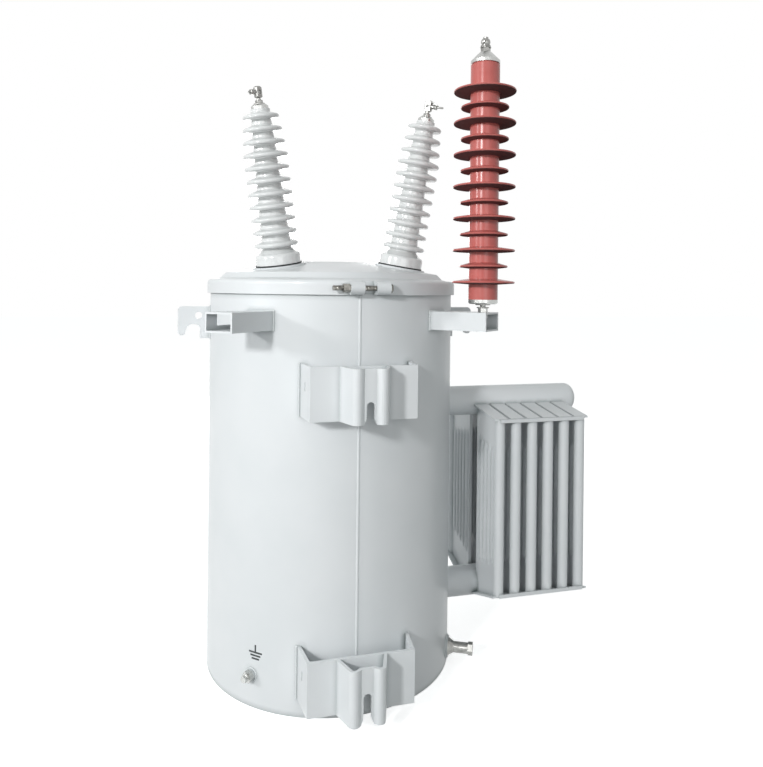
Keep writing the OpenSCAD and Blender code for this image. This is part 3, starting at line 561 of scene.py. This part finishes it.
def add_shape(name, shape, slot, finish=None):
    """Makes a bmesh a piece of the transformer."""
    bmesh.ops.remove_doubles(shape, verts=shape.verts, dist=MERGE_GAP)
    bmesh.ops.recalc_face_normals(shape, faces=shape.faces)
    mesh = bpy.data.meshes.new(name)
    shape.to_mesh(mesh)
    shape.free()
    return add_piece(name, mesh, slot, finish)


def new_tree(name, inputs):
    """An empty tree of geometry nodes with named inputs, and its input and output nodes."""
    tree = bpy.data.node_groups.new(name, "GeometryNodeTree")
    for label, kind in inputs:
        tree.interface.new_socket(label, in_out="INPUT", socket_type=kind)
    tree.interface.new_socket("Geometry", in_out="OUTPUT", socket_type="NodeSocketGeometry")
    return tree, add(tree, "NodeGroupInput").outputs, add(tree, "NodeGroupOutput").inputs


def grow(tree, values, base=None):
    """Runs a tree of geometry nodes on a mesh and returns the result as a plain mesh."""
    carrier = bpy.data.objects.new(tree.name, base or bpy.data.meshes.new(tree.name))
    bpy.context.scene.collection.objects.link(carrier)
    modifier = carrier.modifiers.new(tree.name, "NODES")
    modifier.node_group = tree
    for socket in tree.interface.items_tree:
        if socket.in_out == "INPUT" and socket.name in values:
            modifier[socket.identifier] = values[socket.name]
    mesh = bpy.data.meshes.new_from_object(carrier.evaluated_get(bpy.context.evaluated_depsgraph_get()))
    carrier.modifiers.clear()
    bpy.data.objects.remove(carrier)
    return mesh


def thread_tree():
    """A helical ridge round the local Z axis, as rolled on a bolt."""
    tree, given, out = new_tree("rolled thread", [
        ("Turns", "NodeSocketFloat"), ("Radius", "NodeSocketFloat"), ("Height", "NodeSocketFloat"),
        ("Ridge", "NodeSocketFloat"), ("Finish", "NodeSocketMaterial")])
    helix = add(tree, "GeometryNodeCurveSpiral", {
        "Resolution": 20, "Rotations": given["Turns"], "Start Radius": given["Radius"],
        "End Radius": given["Radius"], "Height": given["Height"]})
    ridge = add(tree, "GeometryNodeCurvePrimitiveCircle", {"Resolution": 4, "Radius": given["Ridge"]})
    sweep = add(tree, "GeometryNodeCurveToMesh", {
        "Curve": helix.outputs[0], "Profile Curve": ridge.outputs[0], "Fill Caps": True})
    plain = add(tree, "GeometryNodeRealizeInstances", {"Geometry": sweep.outputs[0]})
    painted = add(tree, "GeometryNodeSetMaterial", {
        "Geometry": plain.outputs[0], "Material": given["Finish"]})
    tree.links.new(painted.outputs[0], out["Geometry"])
    return tree


def weld_tree():
    """Overlapping ripples along lines of edges, as an arc welder lays them."""
    tree, given, out = new_tree("weld ripples", [
        ("Geometry", "NodeSocketGeometry"), ("Ripple", "NodeSocketFloat"), ("Width", "NodeSocketFloat"),
        ("Seed", "NodeSocketInt"), ("Finish", "NodeSocketMaterial")])
    lines = add(tree, "GeometryNodeMeshToCurve", {"Mesh": given["Geometry"]})
    points = add(tree, "GeometryNodeResampleCurve", {"Curve": lines.outputs[0], "Length": given["Ripple"]},
                 mode="LENGTH")
    along = add(tree, "GeometryNodeInputTangent").outputs[0]
    lie = add(tree, "FunctionNodeAlignRotationToVector", {"Vector": along}, axis="X").outputs[0]
    uneven = add(tree, "FunctionNodeRandomValue", {
        2: 0.88, 3: 1.12, "Seed": given["Seed"]}, data_type="FLOAT")
    half = add(tree, "ShaderNodeMath", {0: given["Width"], 1: 0.5}, operation="MULTIPLY").outputs[0]
    across = add(tree, "ShaderNodeMath", {0: half, 1: uneven.outputs[1]}, operation="MULTIPLY").outputs[0]
    size = add(tree, "ShaderNodeCombineXYZ", {"X": given["Ripple"], "Y": across, "Z": across}).outputs[0]
    ripple = add(tree, "GeometryNodeMeshUVSphere", {"Segments": 8, "Rings": 6, "Radius": 1.0}).outputs[0]
    beads = add(tree, "GeometryNodeInstanceOnPoints", {
        "Points": points.outputs[0], "Instance": ripple, "Rotation": lie, "Scale": size})
    plain = add(tree, "GeometryNodeRealizeInstances", {"Geometry": beads.outputs[0]})
    painted = add(tree, "GeometryNodeSetMaterial", {
        "Geometry": plain.outputs[0], "Material": given["Finish"]})
    tree.links.new(painted.outputs[0], out["Geometry"])
    return tree


class TRANSFORMER_OT_finishes(bpy.types.Operator):
    """Gives every node of the solid model the finish of its slot, or its own"""
    bl_idname = "transformer.finishes"
    bl_label = "Finish the solid model"

    def execute(self, context):
        for part in frame["record"]["subparts"]:
            mesh = frame["nodes"][part["node"]].data
            mesh.materials.clear()
            mesh.materials.append(finish_for(NODE_FINISH.get(part["node"], part["material_slot"])))
        return {"FINISHED"}


def arc(x, z, r, start, end, steps=5):
    """Points of an arc in an outline, with its angles in radians."""
    angles = [start + (end - start) * i / steps for i in range(steps + 1)]
    return [(x + r * cos(angle), z + r * sin(angle)) for angle in angles]


def shed_side(core, shed, z, rim, root, tilt, up):
    """One side of a shed, from its rim to the core: half of the rim, then the hollow at its root."""
    face_x, face_z = shed - rim + rim * sin(tilt), rim * cos(tilt)
    root_z = face_z + (root - (core + root - face_x) * sin(tilt)) / cos(tilt)
    half = arc(shed - rim, 0, rim, 0, pi / 2 - tilt) + arc(core + root, root_z, root, 1.5 * pi - tilt, pi)
    return [(x, z + up * height) for x, height in half]


def bushing_outline(sizes):
    """Outline of a high voltage bushing: a stem, a foot and sheds with round rims on a tapering core."""
    rim, root = sizes.shed_rim / MM, sizes.shed_root / MM
    points = [(0, -HV_STEM_LEN), (HV_STEM_R, -HV_STEM_LEN), (HV_STEM_R, 0), (HV_FLANGE_R, 0)]
    points += arc(HV_FLANGE_R - HV_FLANGE_ROUND, HV_FLANGE_H - HV_FLANGE_ROUND, HV_FLANGE_ROUND, 0, pi / 2)
    for i in range(HV_SHEDS):
        over = HV_SHEDS - 1 - i
        core = HV_CORE_TOP_R + (HV_CORE_LOW_R - HV_CORE_TOP_R) * over / (HV_SHEDS - 1)
        shed = min(HV_SHED_R, HV_TOP_SHED_R + HV_SHED_TAPER * over)
        z = HV_FIRST + HV_PITCH * i
        points += shed_side(core, shed, z, rim, root, sizes.shed_under, -1)[::-1]
        points += shed_side(core, shed, z, rim, root, sizes.shed_over, 1)[1:]
    return points + [(HV_CORE_TOP_R, HV_PORCELAIN_H), (0, HV_PORCELAIN_H)]


class TRANSFORMER_OT_bushings(bpy.types.Operator):
    """Turns the high voltage bushings with the round, thick sheds of glazed porcelain"""
    bl_idname = "transformer.bushings"
    bl_label = "High voltage bushings"

    def execute(self, context):
        outline = bushing_outline(context.scene.transformer_fittings)
        for side, name in ((-1, "left"), (1, "right")):
            shape = bmesh.new()
            lathe(shape, outline, on_hv_seat(side, HV_PORCELAIN_Z), steps=72)
            bushing = add_shape("hv_porcelain_" + name, shape, "porcelain")
            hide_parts("hv_bushing_" + name)
        return {"FINISHED"}


# How far a weld bead's middle lies off the wall and off what it joins, and ends short of a hanger's ends
WELD_PROUD = 0.5
WELD_OFF_HANGER = 4.0
WELD_OFF_EDGE = 1.0
WELD_OFF_DRAIN = 0.5
WELD_SHORT = 2.0
# Straight pieces of a weld that bends round the tank
ARM_WELD_STEPS = 16


def wall_angle(across):
    """Degrees round the tank of a width across its wall."""
    return atan2(across, TANK_R) * 180 / pi


def upright(az, r, low, high):
    """Two ends of an upright weld on the tank."""
    return [towards(az, r, low).translation, towards(az, r, high).translation]


def round_hole(radius, az, z, steps=48):
    """The line where a pipe across the tank wall meets it."""
    points = []
    for i in range(steps + 1):
        across, up = radius * cos(2 * pi * i / steps), radius * sin(2 * pi * i / steps)
        points.append(towards(az + wall_angle(across), TANK_R, z + up).translation)
    return points


def weld_lines():
    """Lines of the welds that hold the painted fittings to the tank."""
    lines = []
    wall = TANK_R + WELD_PROUD
    foot = asin((HANGER_FOOT + WELD_OFF_HANGER) / TANK_R) * 180 / pi
    for low in (HANGER_Z, UPPER_HANGER_Z):
        for side in (-1, 1):
            lines.append(upright(side * foot, wall, low + WELD_SHORT, low + HANGER_H - WELD_SHORT))
    half = wall_angle(ARM_W / 2)
    edge = wall_angle(LUG_T / 2 + WELD_OFF_EDGE)
    arm_low = ARM_TOP_Z - ARM_H
    lug_low = LUG_TOP_Z - LUG_ROOT_H
    for side in (-1, 1):
        turns = [side * ARM_AZ + half * (2 * i / ARM_WELD_STEPS - 1) for i in range(ARM_WELD_STEPS + 1)]
        lines.append([towards(az, wall, arm_low).translation for az in turns])
        lines.append([towards(az, wall, ARM_TOP_Z).translation for az in turns])
        for end in (-1, 1):
            lines.append(upright(side * ARM_AZ + end * half, wall, arm_low, ARM_TOP_Z))
        for end in (-1, 1):
            lines.append(upright(side * LUG_AZ + end * edge, wall, lug_low + WELD_OFF_EDGE,
                                 LUG_TOP_Z - WELD_OFF_EDGE))
    for z in (PIPE_Z, PIPE_TOP_Z):
        lines.append(round_hole(PIPE_D / 2 + WELD_OFF_EDGE, PIPE_AZ, z))
    lines.append(round_hole(DRAIN_BOSS_D / 2 + WELD_OFF_DRAIN, DRAIN_AZ, DRAIN_Z))
    lines.append(round_hole(EARTH_BOSS_D / 2 + WELD_OFF_EDGE, EARTH_AZ, EARTH_Z))
    return lines


class TRANSFORMER_OT_welds(bpy.types.Operator):
    """Lays painted weld beads where brackets, lugs, hangers, pipes and bosses meet the tank"""
    bl_idname = "transformer.welds"
    bl_label = "Weld beads"

    def execute(self, context):
        sizes = context.scene.transformer_fittings
        points, edges = [], []
        for line in weld_lines():
            start = len(points)
            points += line
            edges += [(start + i, start + i + 1) for i in range(len(line) - 1)]
        base = bpy.data.meshes.new("weld lines")
        base.from_pydata(points, edges, [])
        mesh = grow(weld_tree(), {
            "Ripple": sizes.weld_ripple, "Width": sizes.weld_width, "Seed": sizes.weld_seed,
            "Finish": finish_for("grey_paint")}, base)
        add_piece("weld_beads", mesh, "grey_paint")
        return {"FINISHED"}


class TRANSFORMER_OT_threads(bpy.types.Operator):
    """Rolls threads on the bolts and studs"""
    bl_idname = "transformer.threads"
    bl_label = "Bolt threads"

    # Start and length of each thread: along the clamp bolt from its middle, or over what the stud stands on
    BOLT_END = (-82.0, 23.0)
    BOLT_MIDDLE = (-14.0, 28.0)
    EARTH = (12.0, 9.0)
    ARRESTER = (10.0, 8.0)
    LOW_VOLTAGE = (13.0, 31.0)
    # Radius of the ridge as a share of the pitch
    RIDGE = 0.42

    def studs(self):
        """Name, place, diameter, length, slot and finish of each thread."""
        bolt = towards(BAND_AZ, BAND_BOLT_R, BAND_BOLT_Z) @ turn(90, "Y")
        for name, (start, run) in (("end_thread", self.BOLT_END), ("thread", self.BOLT_MIDDLE)):
            spot = bolt @ place(0, 0, start)
            yield "clamp_bolt_" + name, spot, BAND_BOLT_D, run, "zinc_steel", "worn_zinc"
        start, run = self.EARTH
        boss = out_of_tank(EARTH_AZ, TANK_R + EARTH_BOSS_LEN + start, EARTH_Z)
        yield "earth_stud_thread", boss, EARTH_STUD_D, run, "zinc_steel", "zinc_steel"
        start, run = self.ARRESTER
        arm = on_arrester(ARM_TOP_Z + start)
        yield "arrester_stud_thread", arm, ARRESTER_STUD_D, run, "zinc_steel", "tinned_bronze"
        start, run = self.LOW_VOLTAGE
        for i, name in ((-1, "left"), (0, "middle"), (1, "right")):
            face = out_of_tank(LV_MIDDLE_AZ + i * LV_AZ, LV_FACE_R + start, LV_Z)
            yield "lv_stud_thread_" + name, face, LV_STUD_D, run, "brass", "brass"

    def execute(self, context):
        share = context.scene.transformer_fittings.thread_share
        tree = thread_tree()
        for name, matrix, diameter, run, slot, finish in self.studs():
            pitch = diameter * share
            mesh = grow(tree, {"Turns": run / pitch, "Radius": diameter / 2 * MM, "Height": run * MM,
                               "Ridge": pitch * self.RIDGE * MM, "Finish": finish_for(finish)})
            mesh.transform(matrix)
            add_piece(name, mesh, slot, finish)
        return {"FINISHED"}


class TRANSFORMER_OT_line_clamps(bpy.types.Operator):
    """Adds the washer, nut and clamp screw of each high voltage terminal"""
    bl_idname = "transformer.line_clamps"
    bl_label = "Line clamps"

    WASHER_R, WASHER_HOLE_R, WASHER_T = 13.0, 5.0, 2.5
    NUT_W, NUT_H, NUT_EDGE = 16.0, 7.0, 0.6
    HEAD_W, HEAD_H, HEAD_EDGE = 12.0, 7.0, 0.5
    # The screw's radius, the radius and length of its tip, where it starts and where it ends on each side
    SCREW_R, SCREW_TIP_R, SCREW_TIP_LEN, SCREW_START = 2.4, 1.8, 1.0, 20.0
    SCREW_ENDS = {"left": 28.0, "right": 38.0}
    # The tilted keeper plate, which only the right terminal has
    KEEPER_W, KEEPER_T, KEEPER_LEN, KEEPER_EDGE = 10.0, 3.0, 22.0, 0.6
    KEEPER_RISE, KEEPER_OUT, KEEPER_TILT = 12.0, 4.0, 118.0

    def screw(self, tip):
        """Outline of the end of a clamp screw with a small taper."""
        return [(0, self.SCREW_START), (self.SCREW_R, self.SCREW_START),
                (self.SCREW_R, tip - self.SCREW_TIP_LEN), (self.SCREW_TIP_R, tip), (0, tip)]

    def keeper(self, shape, side, eye):
        """The keeper plate beside the wire hole."""
        half = self.KEEPER_W / 2
        outline = [(-half, 0), (half, 0), (half, self.KEEPER_T), (-half, self.KEEPER_T)]
        spot = on_hv_seat(side, eye + self.KEEPER_RISE) @ place(0, -self.KEEPER_OUT, 0)
        prism(shape, outline, self.KEEPER_LEN, spot @ turn(self.KEEPER_TILT, "X"), self.KEEPER_EDGE)

    def execute(self, context):
        top = HV_PORCELAIN_TOP + HV_CAP_H
        eye = top + HV_EYE_Z
        washer = washer_outline(self.WASHER_R, self.WASHER_HOLE_R, self.WASHER_T)
        for side, name in ((-1, "left"), (1, "right")):
            shape = bmesh.new()
            lathe(shape, washer, on_hv_seat(side, top))
            nut = on_hv_seat(side, top + self.WASHER_T)
            prism(shape, hexagon(self.NUT_W), self.NUT_H, nut, self.NUT_EDGE)
            across = on_hv_seat(side, eye) @ turn(90, "X")
            head = across @ place(0, 0, HV_BOSS_LEN)
            prism(shape, hexagon(self.HEAD_W), self.HEAD_H, head, self.HEAD_EDGE)
            lathe(shape, self.screw(self.SCREW_ENDS[name]), across, steps=20)
            if name == "right":
                self.keeper(shape, side, eye)
            add_shape("hv_line_clamp_" + name, shape, "zinc_steel", "tinned_bronze")
        return {"FINISHED"}


class TRANSFORMER_OT_arrester_clamp(bpy.types.Operator):
    """Adds the washers of the arrester and its rounded line clamp with two screws"""
    bl_idname = "transformer.arrester_clamp"
    bl_label = "Arrester clamp"

    # The clamp stands just over the nut of the top cap: its washer, its knob round the bolt and its screws
    CLAMP_RISE = 9.7
    WASHER_R, BOLT_R, WASHER_T = 12.5, 6.0, 2.0
    KNOB = [(BOLT_R, 2.2), (10.4, 2.2), (11.4, 3.0), (11.4, 5.4), (9.4, 6.8), (8.8, 7.8), (10.0, 9.8),
            (10.8, 12.8), (10.4, 16.0), (9.2, 18.8), (7.4, 20.6), (BOLT_R, 21.0), (BOLT_R, 2.2)]
    SCREW_W, SCREW_H, SCREW_EDGE = 8.0, 5.0, 0.5
    SCREW_Z, SCREW_OUT = 13.0, 8.6
    # Washers on the stud: over the bracket's nut and under the base cap
    STUD_HOLE_R, STUD_WASHER_T = 6.2, 2.4
    LOW_WASHER_R, LOW_WASHER_RISE = 14.0, 9.6
    BASE_WASHER_R, BASE_WASHER_DROP = 17.0, 2.6
    STEPS = 40

    def execute(self, context):
        shape = bmesh.new()
        clamp = on_arrester(ARRESTER_CAP_Z + self.CLAMP_RISE)
        lathe(shape, washer_outline(self.WASHER_R, self.BOLT_R, self.WASHER_T), clamp, self.STEPS)
        lathe(shape, self.KNOB, clamp, self.STEPS)
        for end in (-90, 90):
            spot = clamp @ place(0, 0, self.SCREW_Z) @ turn(end, "Y") @ place(0, 0, self.SCREW_OUT)
            prism(shape, hexagon(self.SCREW_W), self.SCREW_H, spot, self.SCREW_EDGE)
        for radius, z in ((self.LOW_WASHER_R, ARM_TOP_Z + self.LOW_WASHER_RISE),
                          (self.BASE_WASHER_R, ARRESTER_BASE_Z - self.BASE_WASHER_DROP)):
            washer = washer_outline(radius, self.STUD_HOLE_R, self.STUD_WASHER_T)
            lathe(shape, washer, on_arrester(z), self.STEPS)
        add_shape("arrester_line_clamp", shape, "zinc_steel", "tinned_bronze")
        return {"FINISHED"}


class TRANSFORMER_OT_earth_sign(bpy.types.Operator):
    """Paints the earth sign on the tank wall over the earth stud"""
    bl_idname = "transformer.earth_sign"
    bl_label = "Earth sign"

    AZ, Z = -43.1, 122.5
    PROUD = 0.25
    # Length of each piece of a bar that bends round the wall
    BEND = 2.0
    # Widths of the three bars as shares of the longest, from below, and their distance in widths of a line
    BARS = (0.57, 0.77, 1.0)
    BAR_STEP = 1.9

    def row(self, shape, x0, x1, z, proud, steps):
        """Corners along one edge of a bar, bent round the tank wall."""
        angles = [self.AZ + (x0 + (x1 - x0) * i / steps) / TANK_R * 180 / pi for i in range(steps + 1)]
        return [shape.verts.new(towards(az, TANK_R + proud, self.Z + z).translation) for az in angles]

    def bar(self, shape, x0, x1, z0, z1):
        """One bar of the sign, in millimetres from the sign's middle."""
        steps = max(2, ceil((x1 - x0) / self.BEND))
        inner_low, inner_high = [self.row(shape, x0, x1, z, 0.0, steps) for z in (z0, z1)]
        outer_low, outer_high = [self.row(shape, x0, x1, z, self.PROUD, steps) for z in (z0, z1)]
        for a, b in ((inner_high, inner_low), (outer_low, outer_high), (inner_low, outer_low),
                     (outer_high, inner_high)):
            for i in range(steps):
                shape.faces.new((a[i], a[i + 1], b[i + 1], b[i]))
        for i in (0, steps):
            shape.faces.new((inner_low[i], inner_high[i], outer_high[i], outer_low[i]))

    def execute(self, context):
        sizes = context.scene.transformer_fittings
        width, height, line = sizes.sign_width / MM, sizes.sign_height / MM, sizes.sign_line / MM
        shape = bmesh.new()
        step = line * self.BAR_STEP
        low = -height / 2
        for i, share in enumerate(self.BARS):
            self.bar(shape, -width * share / 2, width * share / 2, low + i * step, low + i * step + line)
        self.bar(shape, -line / 2, line / 2, low + 2 * step + line, height / 2)
        add_shape("earth_sign", shape, "sign_paint")
        return {"FINISHED"}


class TRANSFORMER_OT_stage(bpy.types.Operator):
    """Sets a pale floor, soft light and the camera"""
    bl_idname = "transformer.stage"
    bl_label = "Studio"

    # The camera's place and direction in metres, its roll in degrees and the shift of its picture
    EYE = Vector((-0.3624, -1.7827, 0.9257))
    LOOK = Vector((0.2672, 0.9636, 0.0))
    ROLL = 0.62
    SHIFT_Y = -0.1245
    SENSOR = 36.0
    # Size and place of each lamp and the point that all look at, in metres
    LAMPS = {
        "key": (0.4, (-2.76, -3.17, 2.06)),
        "side": (0.4, (-3.88, -0.97, 1.85)),
        "front": (2.0, (0.0, -4.2, 1.3)),
        "back": (1.6, (0.6, 4.15, 1.2)),
    }
    AIM = Vector((0.0, 0.0, 0.7))
    WHITE = (1.0, 1.0, 1.0, 1.0)
    # The sky is brighter on the left than on the right
    SKY = "#F2F7F6"
    SKY_LEFT, SKY_RIGHT = 1.15, 0.7
    PAPER, PAPER_DEEP, PAPER_DIM = "#F6F7F7", "#F2F3F3", "#8C8E8E"
    FLOOR_DROP = 0.5

    def seen_white(self, tree):
        """1 for the rays that look at the background, straight, in a gloss or through glass."""
        path = add(tree, "ShaderNodeLightPath").outputs
        seen = add(tree, "ShaderNodeMath", {
            0: path["Is Camera Ray"], 1: path["Is Glossy Ray"]}, operation="MAXIMUM")
        return add(tree, "ShaderNodeMath", {0: seen.outputs[0], 1: path["Is Transmission Ray"]},
                   operation="MAXIMUM").outputs[0]

    def world(self, context, strength):
        """A white background that lights the object more softly than it looks."""
        world = bpy.data.worlds.new("White studio")
        context.scene.world = world
        world.use_nodes = True
        tree = world.node_tree
        tree.nodes.clear()
        ray = add(tree, "ShaderNodeTexCoord").outputs["Generated"]
        along = add(tree, "ShaderNodeSeparateXYZ", {0: ray}).outputs["X"]
        side = add(tree, "ShaderNodeMapRange", {
            "Value": along, "From Min": -1.0, "From Max": 1.0, "To Min": self.SKY_LEFT * strength,
            "To Max": self.SKY_RIGHT * strength})
        soft = add(tree, "ShaderNodeBackground", {"Color": linear(self.SKY), "Strength": side.outputs[0]})
        white = add(tree, "ShaderNodeBackground", {"Color": self.WHITE, "Strength": 1.0})
        both = add(tree, "ShaderNodeMixShader", {
            0: self.seen_white(tree), 1: soft.outputs[0], 2: white.outputs[0]})
        add(tree, "ShaderNodeOutputWorld", {"Surface": both.outputs[0]})

    def paper(self, strength):
        """Matt white paper: it takes the object's shadow, stays white where none falls and lights little."""
        material, tree, spot = new_material("Matt white paper")
        # Real fibres are too fine to see from here, so they are drawn as clouds
        fibre = add(tree, "ShaderNodeTexNoise", {
            "Vector": spot, "Scale": per_metre(60), "Detail": 3.0}).outputs[0]
        deep = add(tree, "ShaderNodeMapRange", {"Value": fibre, **NOISE}).outputs[0]
        tone = add(tree, "ShaderNodeMix", {0: deep, 6: linear(self.PAPER), 7: linear(self.PAPER_DEEP)},
                   data_type="RGBA").outputs[2]
        matt = add(tree, "ShaderNodeBsdfPrincipled", {
            "Base Color": tone, "Roughness": 0.9, "Specular IOR Level": 0.0})
        glow = add(tree, "ShaderNodeEmission", {"Color": self.WHITE, "Strength": strength})
        both = add(tree, "ShaderNodeAddShader", {0: matt.outputs[0], 1: glow.outputs[0]})
        dim = add(tree, "ShaderNodeBsdfDiffuse", {"Color": linear(self.PAPER_DIM)})
        lit = add(tree, "ShaderNodeMixShader", {
            0: self.seen_white(tree), 1: dim.outputs[0], 2: both.outputs[0]})
        add(tree, "ShaderNodeOutputMaterial", {"Surface": lit.outputs[0]})
        return material

    def floor(self, context, size, strength):
        """A paper floor just under the tank's lower edge."""
        shape = bmesh.new()
        bmesh.ops.create_grid(shape, x_segments=2, y_segments=2, size=size / 2)
        mesh = bpy.data.meshes.new("floor")
        shape.to_mesh(mesh)
        shape.free()
        mesh.materials.append(self.paper(strength))
        floor = bpy.data.objects.new("floor", mesh)
        context.scene.collection.objects.link(floor)
        floor.location.z = -self.FLOOR_DROP * MM

    def lamp(self, context, name, watts):
        """A square soft lamp that looks at the tank."""
        size, spot = self.LAMPS[name]
        light = bpy.data.lights.new(name, "AREA")
        light.energy, light.shape, light.size = watts, "SQUARE", size
        lamp = bpy.data.objects.new(name, light)
        context.scene.collection.objects.link(lamp)
        lamp.location = spot
        lamp.rotation_euler = (self.AIM - Vector(spot)).to_track_quat("-Z", "Y").to_euler()

    def camera(self, context, lens):
        """The camera stands level where the picture was taken, with a slight roll."""
        right = self.LOOK.cross(Vector((0, 0, 1))).normalized()
        up = right.cross(self.LOOK)
        tilt = radians(self.ROLL)
        across = right * cos(tilt) + up * sin(tilt)
        over = up * cos(tilt) - right * sin(tilt)
        data = bpy.data.cameras.new("camera")
        data.sensor_fit, data.sensor_height = "VERTICAL", self.SENSOR
        data.lens = lens / MM
        data.shift_y = self.SHIFT_Y
        camera = bpy.data.objects.new("camera", data)
        context.scene.collection.objects.link(camera)
        camera.matrix_world = Matrix((across, over, -self.LOOK)).transposed().to_4x4()
        camera.location = self.EYE
        context.scene.camera = camera

    def execute(self, context):
        stage = context.scene.transformer_stage
        context.scene.view_settings.view_transform = "Standard"
        self.world(context, stage.sky)
        self.floor(context, stage.floor_size, stage.glow)
        for name in self.LAMPS:
            self.lamp(context, name, getattr(stage, name))
        self.camera(context, stage.lens)
        return {"FINISHED"}


OPERATORS = (TRANSFORMER_OT_finishes, TRANSFORMER_OT_bushings, TRANSFORMER_OT_welds, TRANSFORMER_OT_threads,
             TRANSFORMER_OT_line_clamps, TRANSFORMER_OT_arrester_clamp, TRANSFORMER_OT_earth_sign,
             TRANSFORMER_OT_stage)


class TRANSFORMER_PT_panel(bpy.types.Panel):
    """Lists the transformer's pieces"""
    bl_idname = "TRANSFORMER_PT_panel"
    bl_label = "Pole transformer"
    bl_space_type = "VIEW_3D"
    bl_region_type = "UI"
    bl_category = "Transformer"

    def draw(self, context):
        for operator in OPERATORS:
            self.layout.operator(operator.bl_idname)
        for group in (context.scene.transformer_finish, context.scene.transformer_fittings,
                      context.scene.transformer_stage):
            for name in group.bl_rna.properties.keys():
                if name not in ("rna_type", "name"):
                    self.layout.prop(group, name)


SETTINGS = {
    "transformer_finish": TransformerFinish,
    "transformer_fittings": TransformerFittings,
    "transformer_stage": TransformerStage,
}
CLASSES = (*SETTINGS.values(), *OPERATORS, TRANSFORMER_PT_panel)


def register():
    """Adds the classes to Blender, and the settings to the scene."""
    for cls in CLASSES:
        bpy.utils.register_class(cls)
    for name, group in SETTINGS.items():
        setattr(bpy.types.Scene, name, PointerProperty(type=group))


def unregister():
    """Takes the settings and the classes away again."""
    for name in SETTINGS:
        delattr(bpy.types.Scene, name)
    for cls in reversed(CLASSES):
        bpy.utils.unregister_class(cls)


def main():
    """Makes every piece in order."""
    register()
    bpy.ops.transformer.finishes()
    bpy.ops.transformer.bushings()
    bpy.ops.transformer.welds()
    bpy.ops.transformer.threads()
    bpy.ops.transformer.line_clamps()
    bpy.ops.transformer.arrester_clamp()
    bpy.ops.transformer.earth_sign()
    bpy.ops.transformer.stage()


if __name__ == "__main__":
    main()
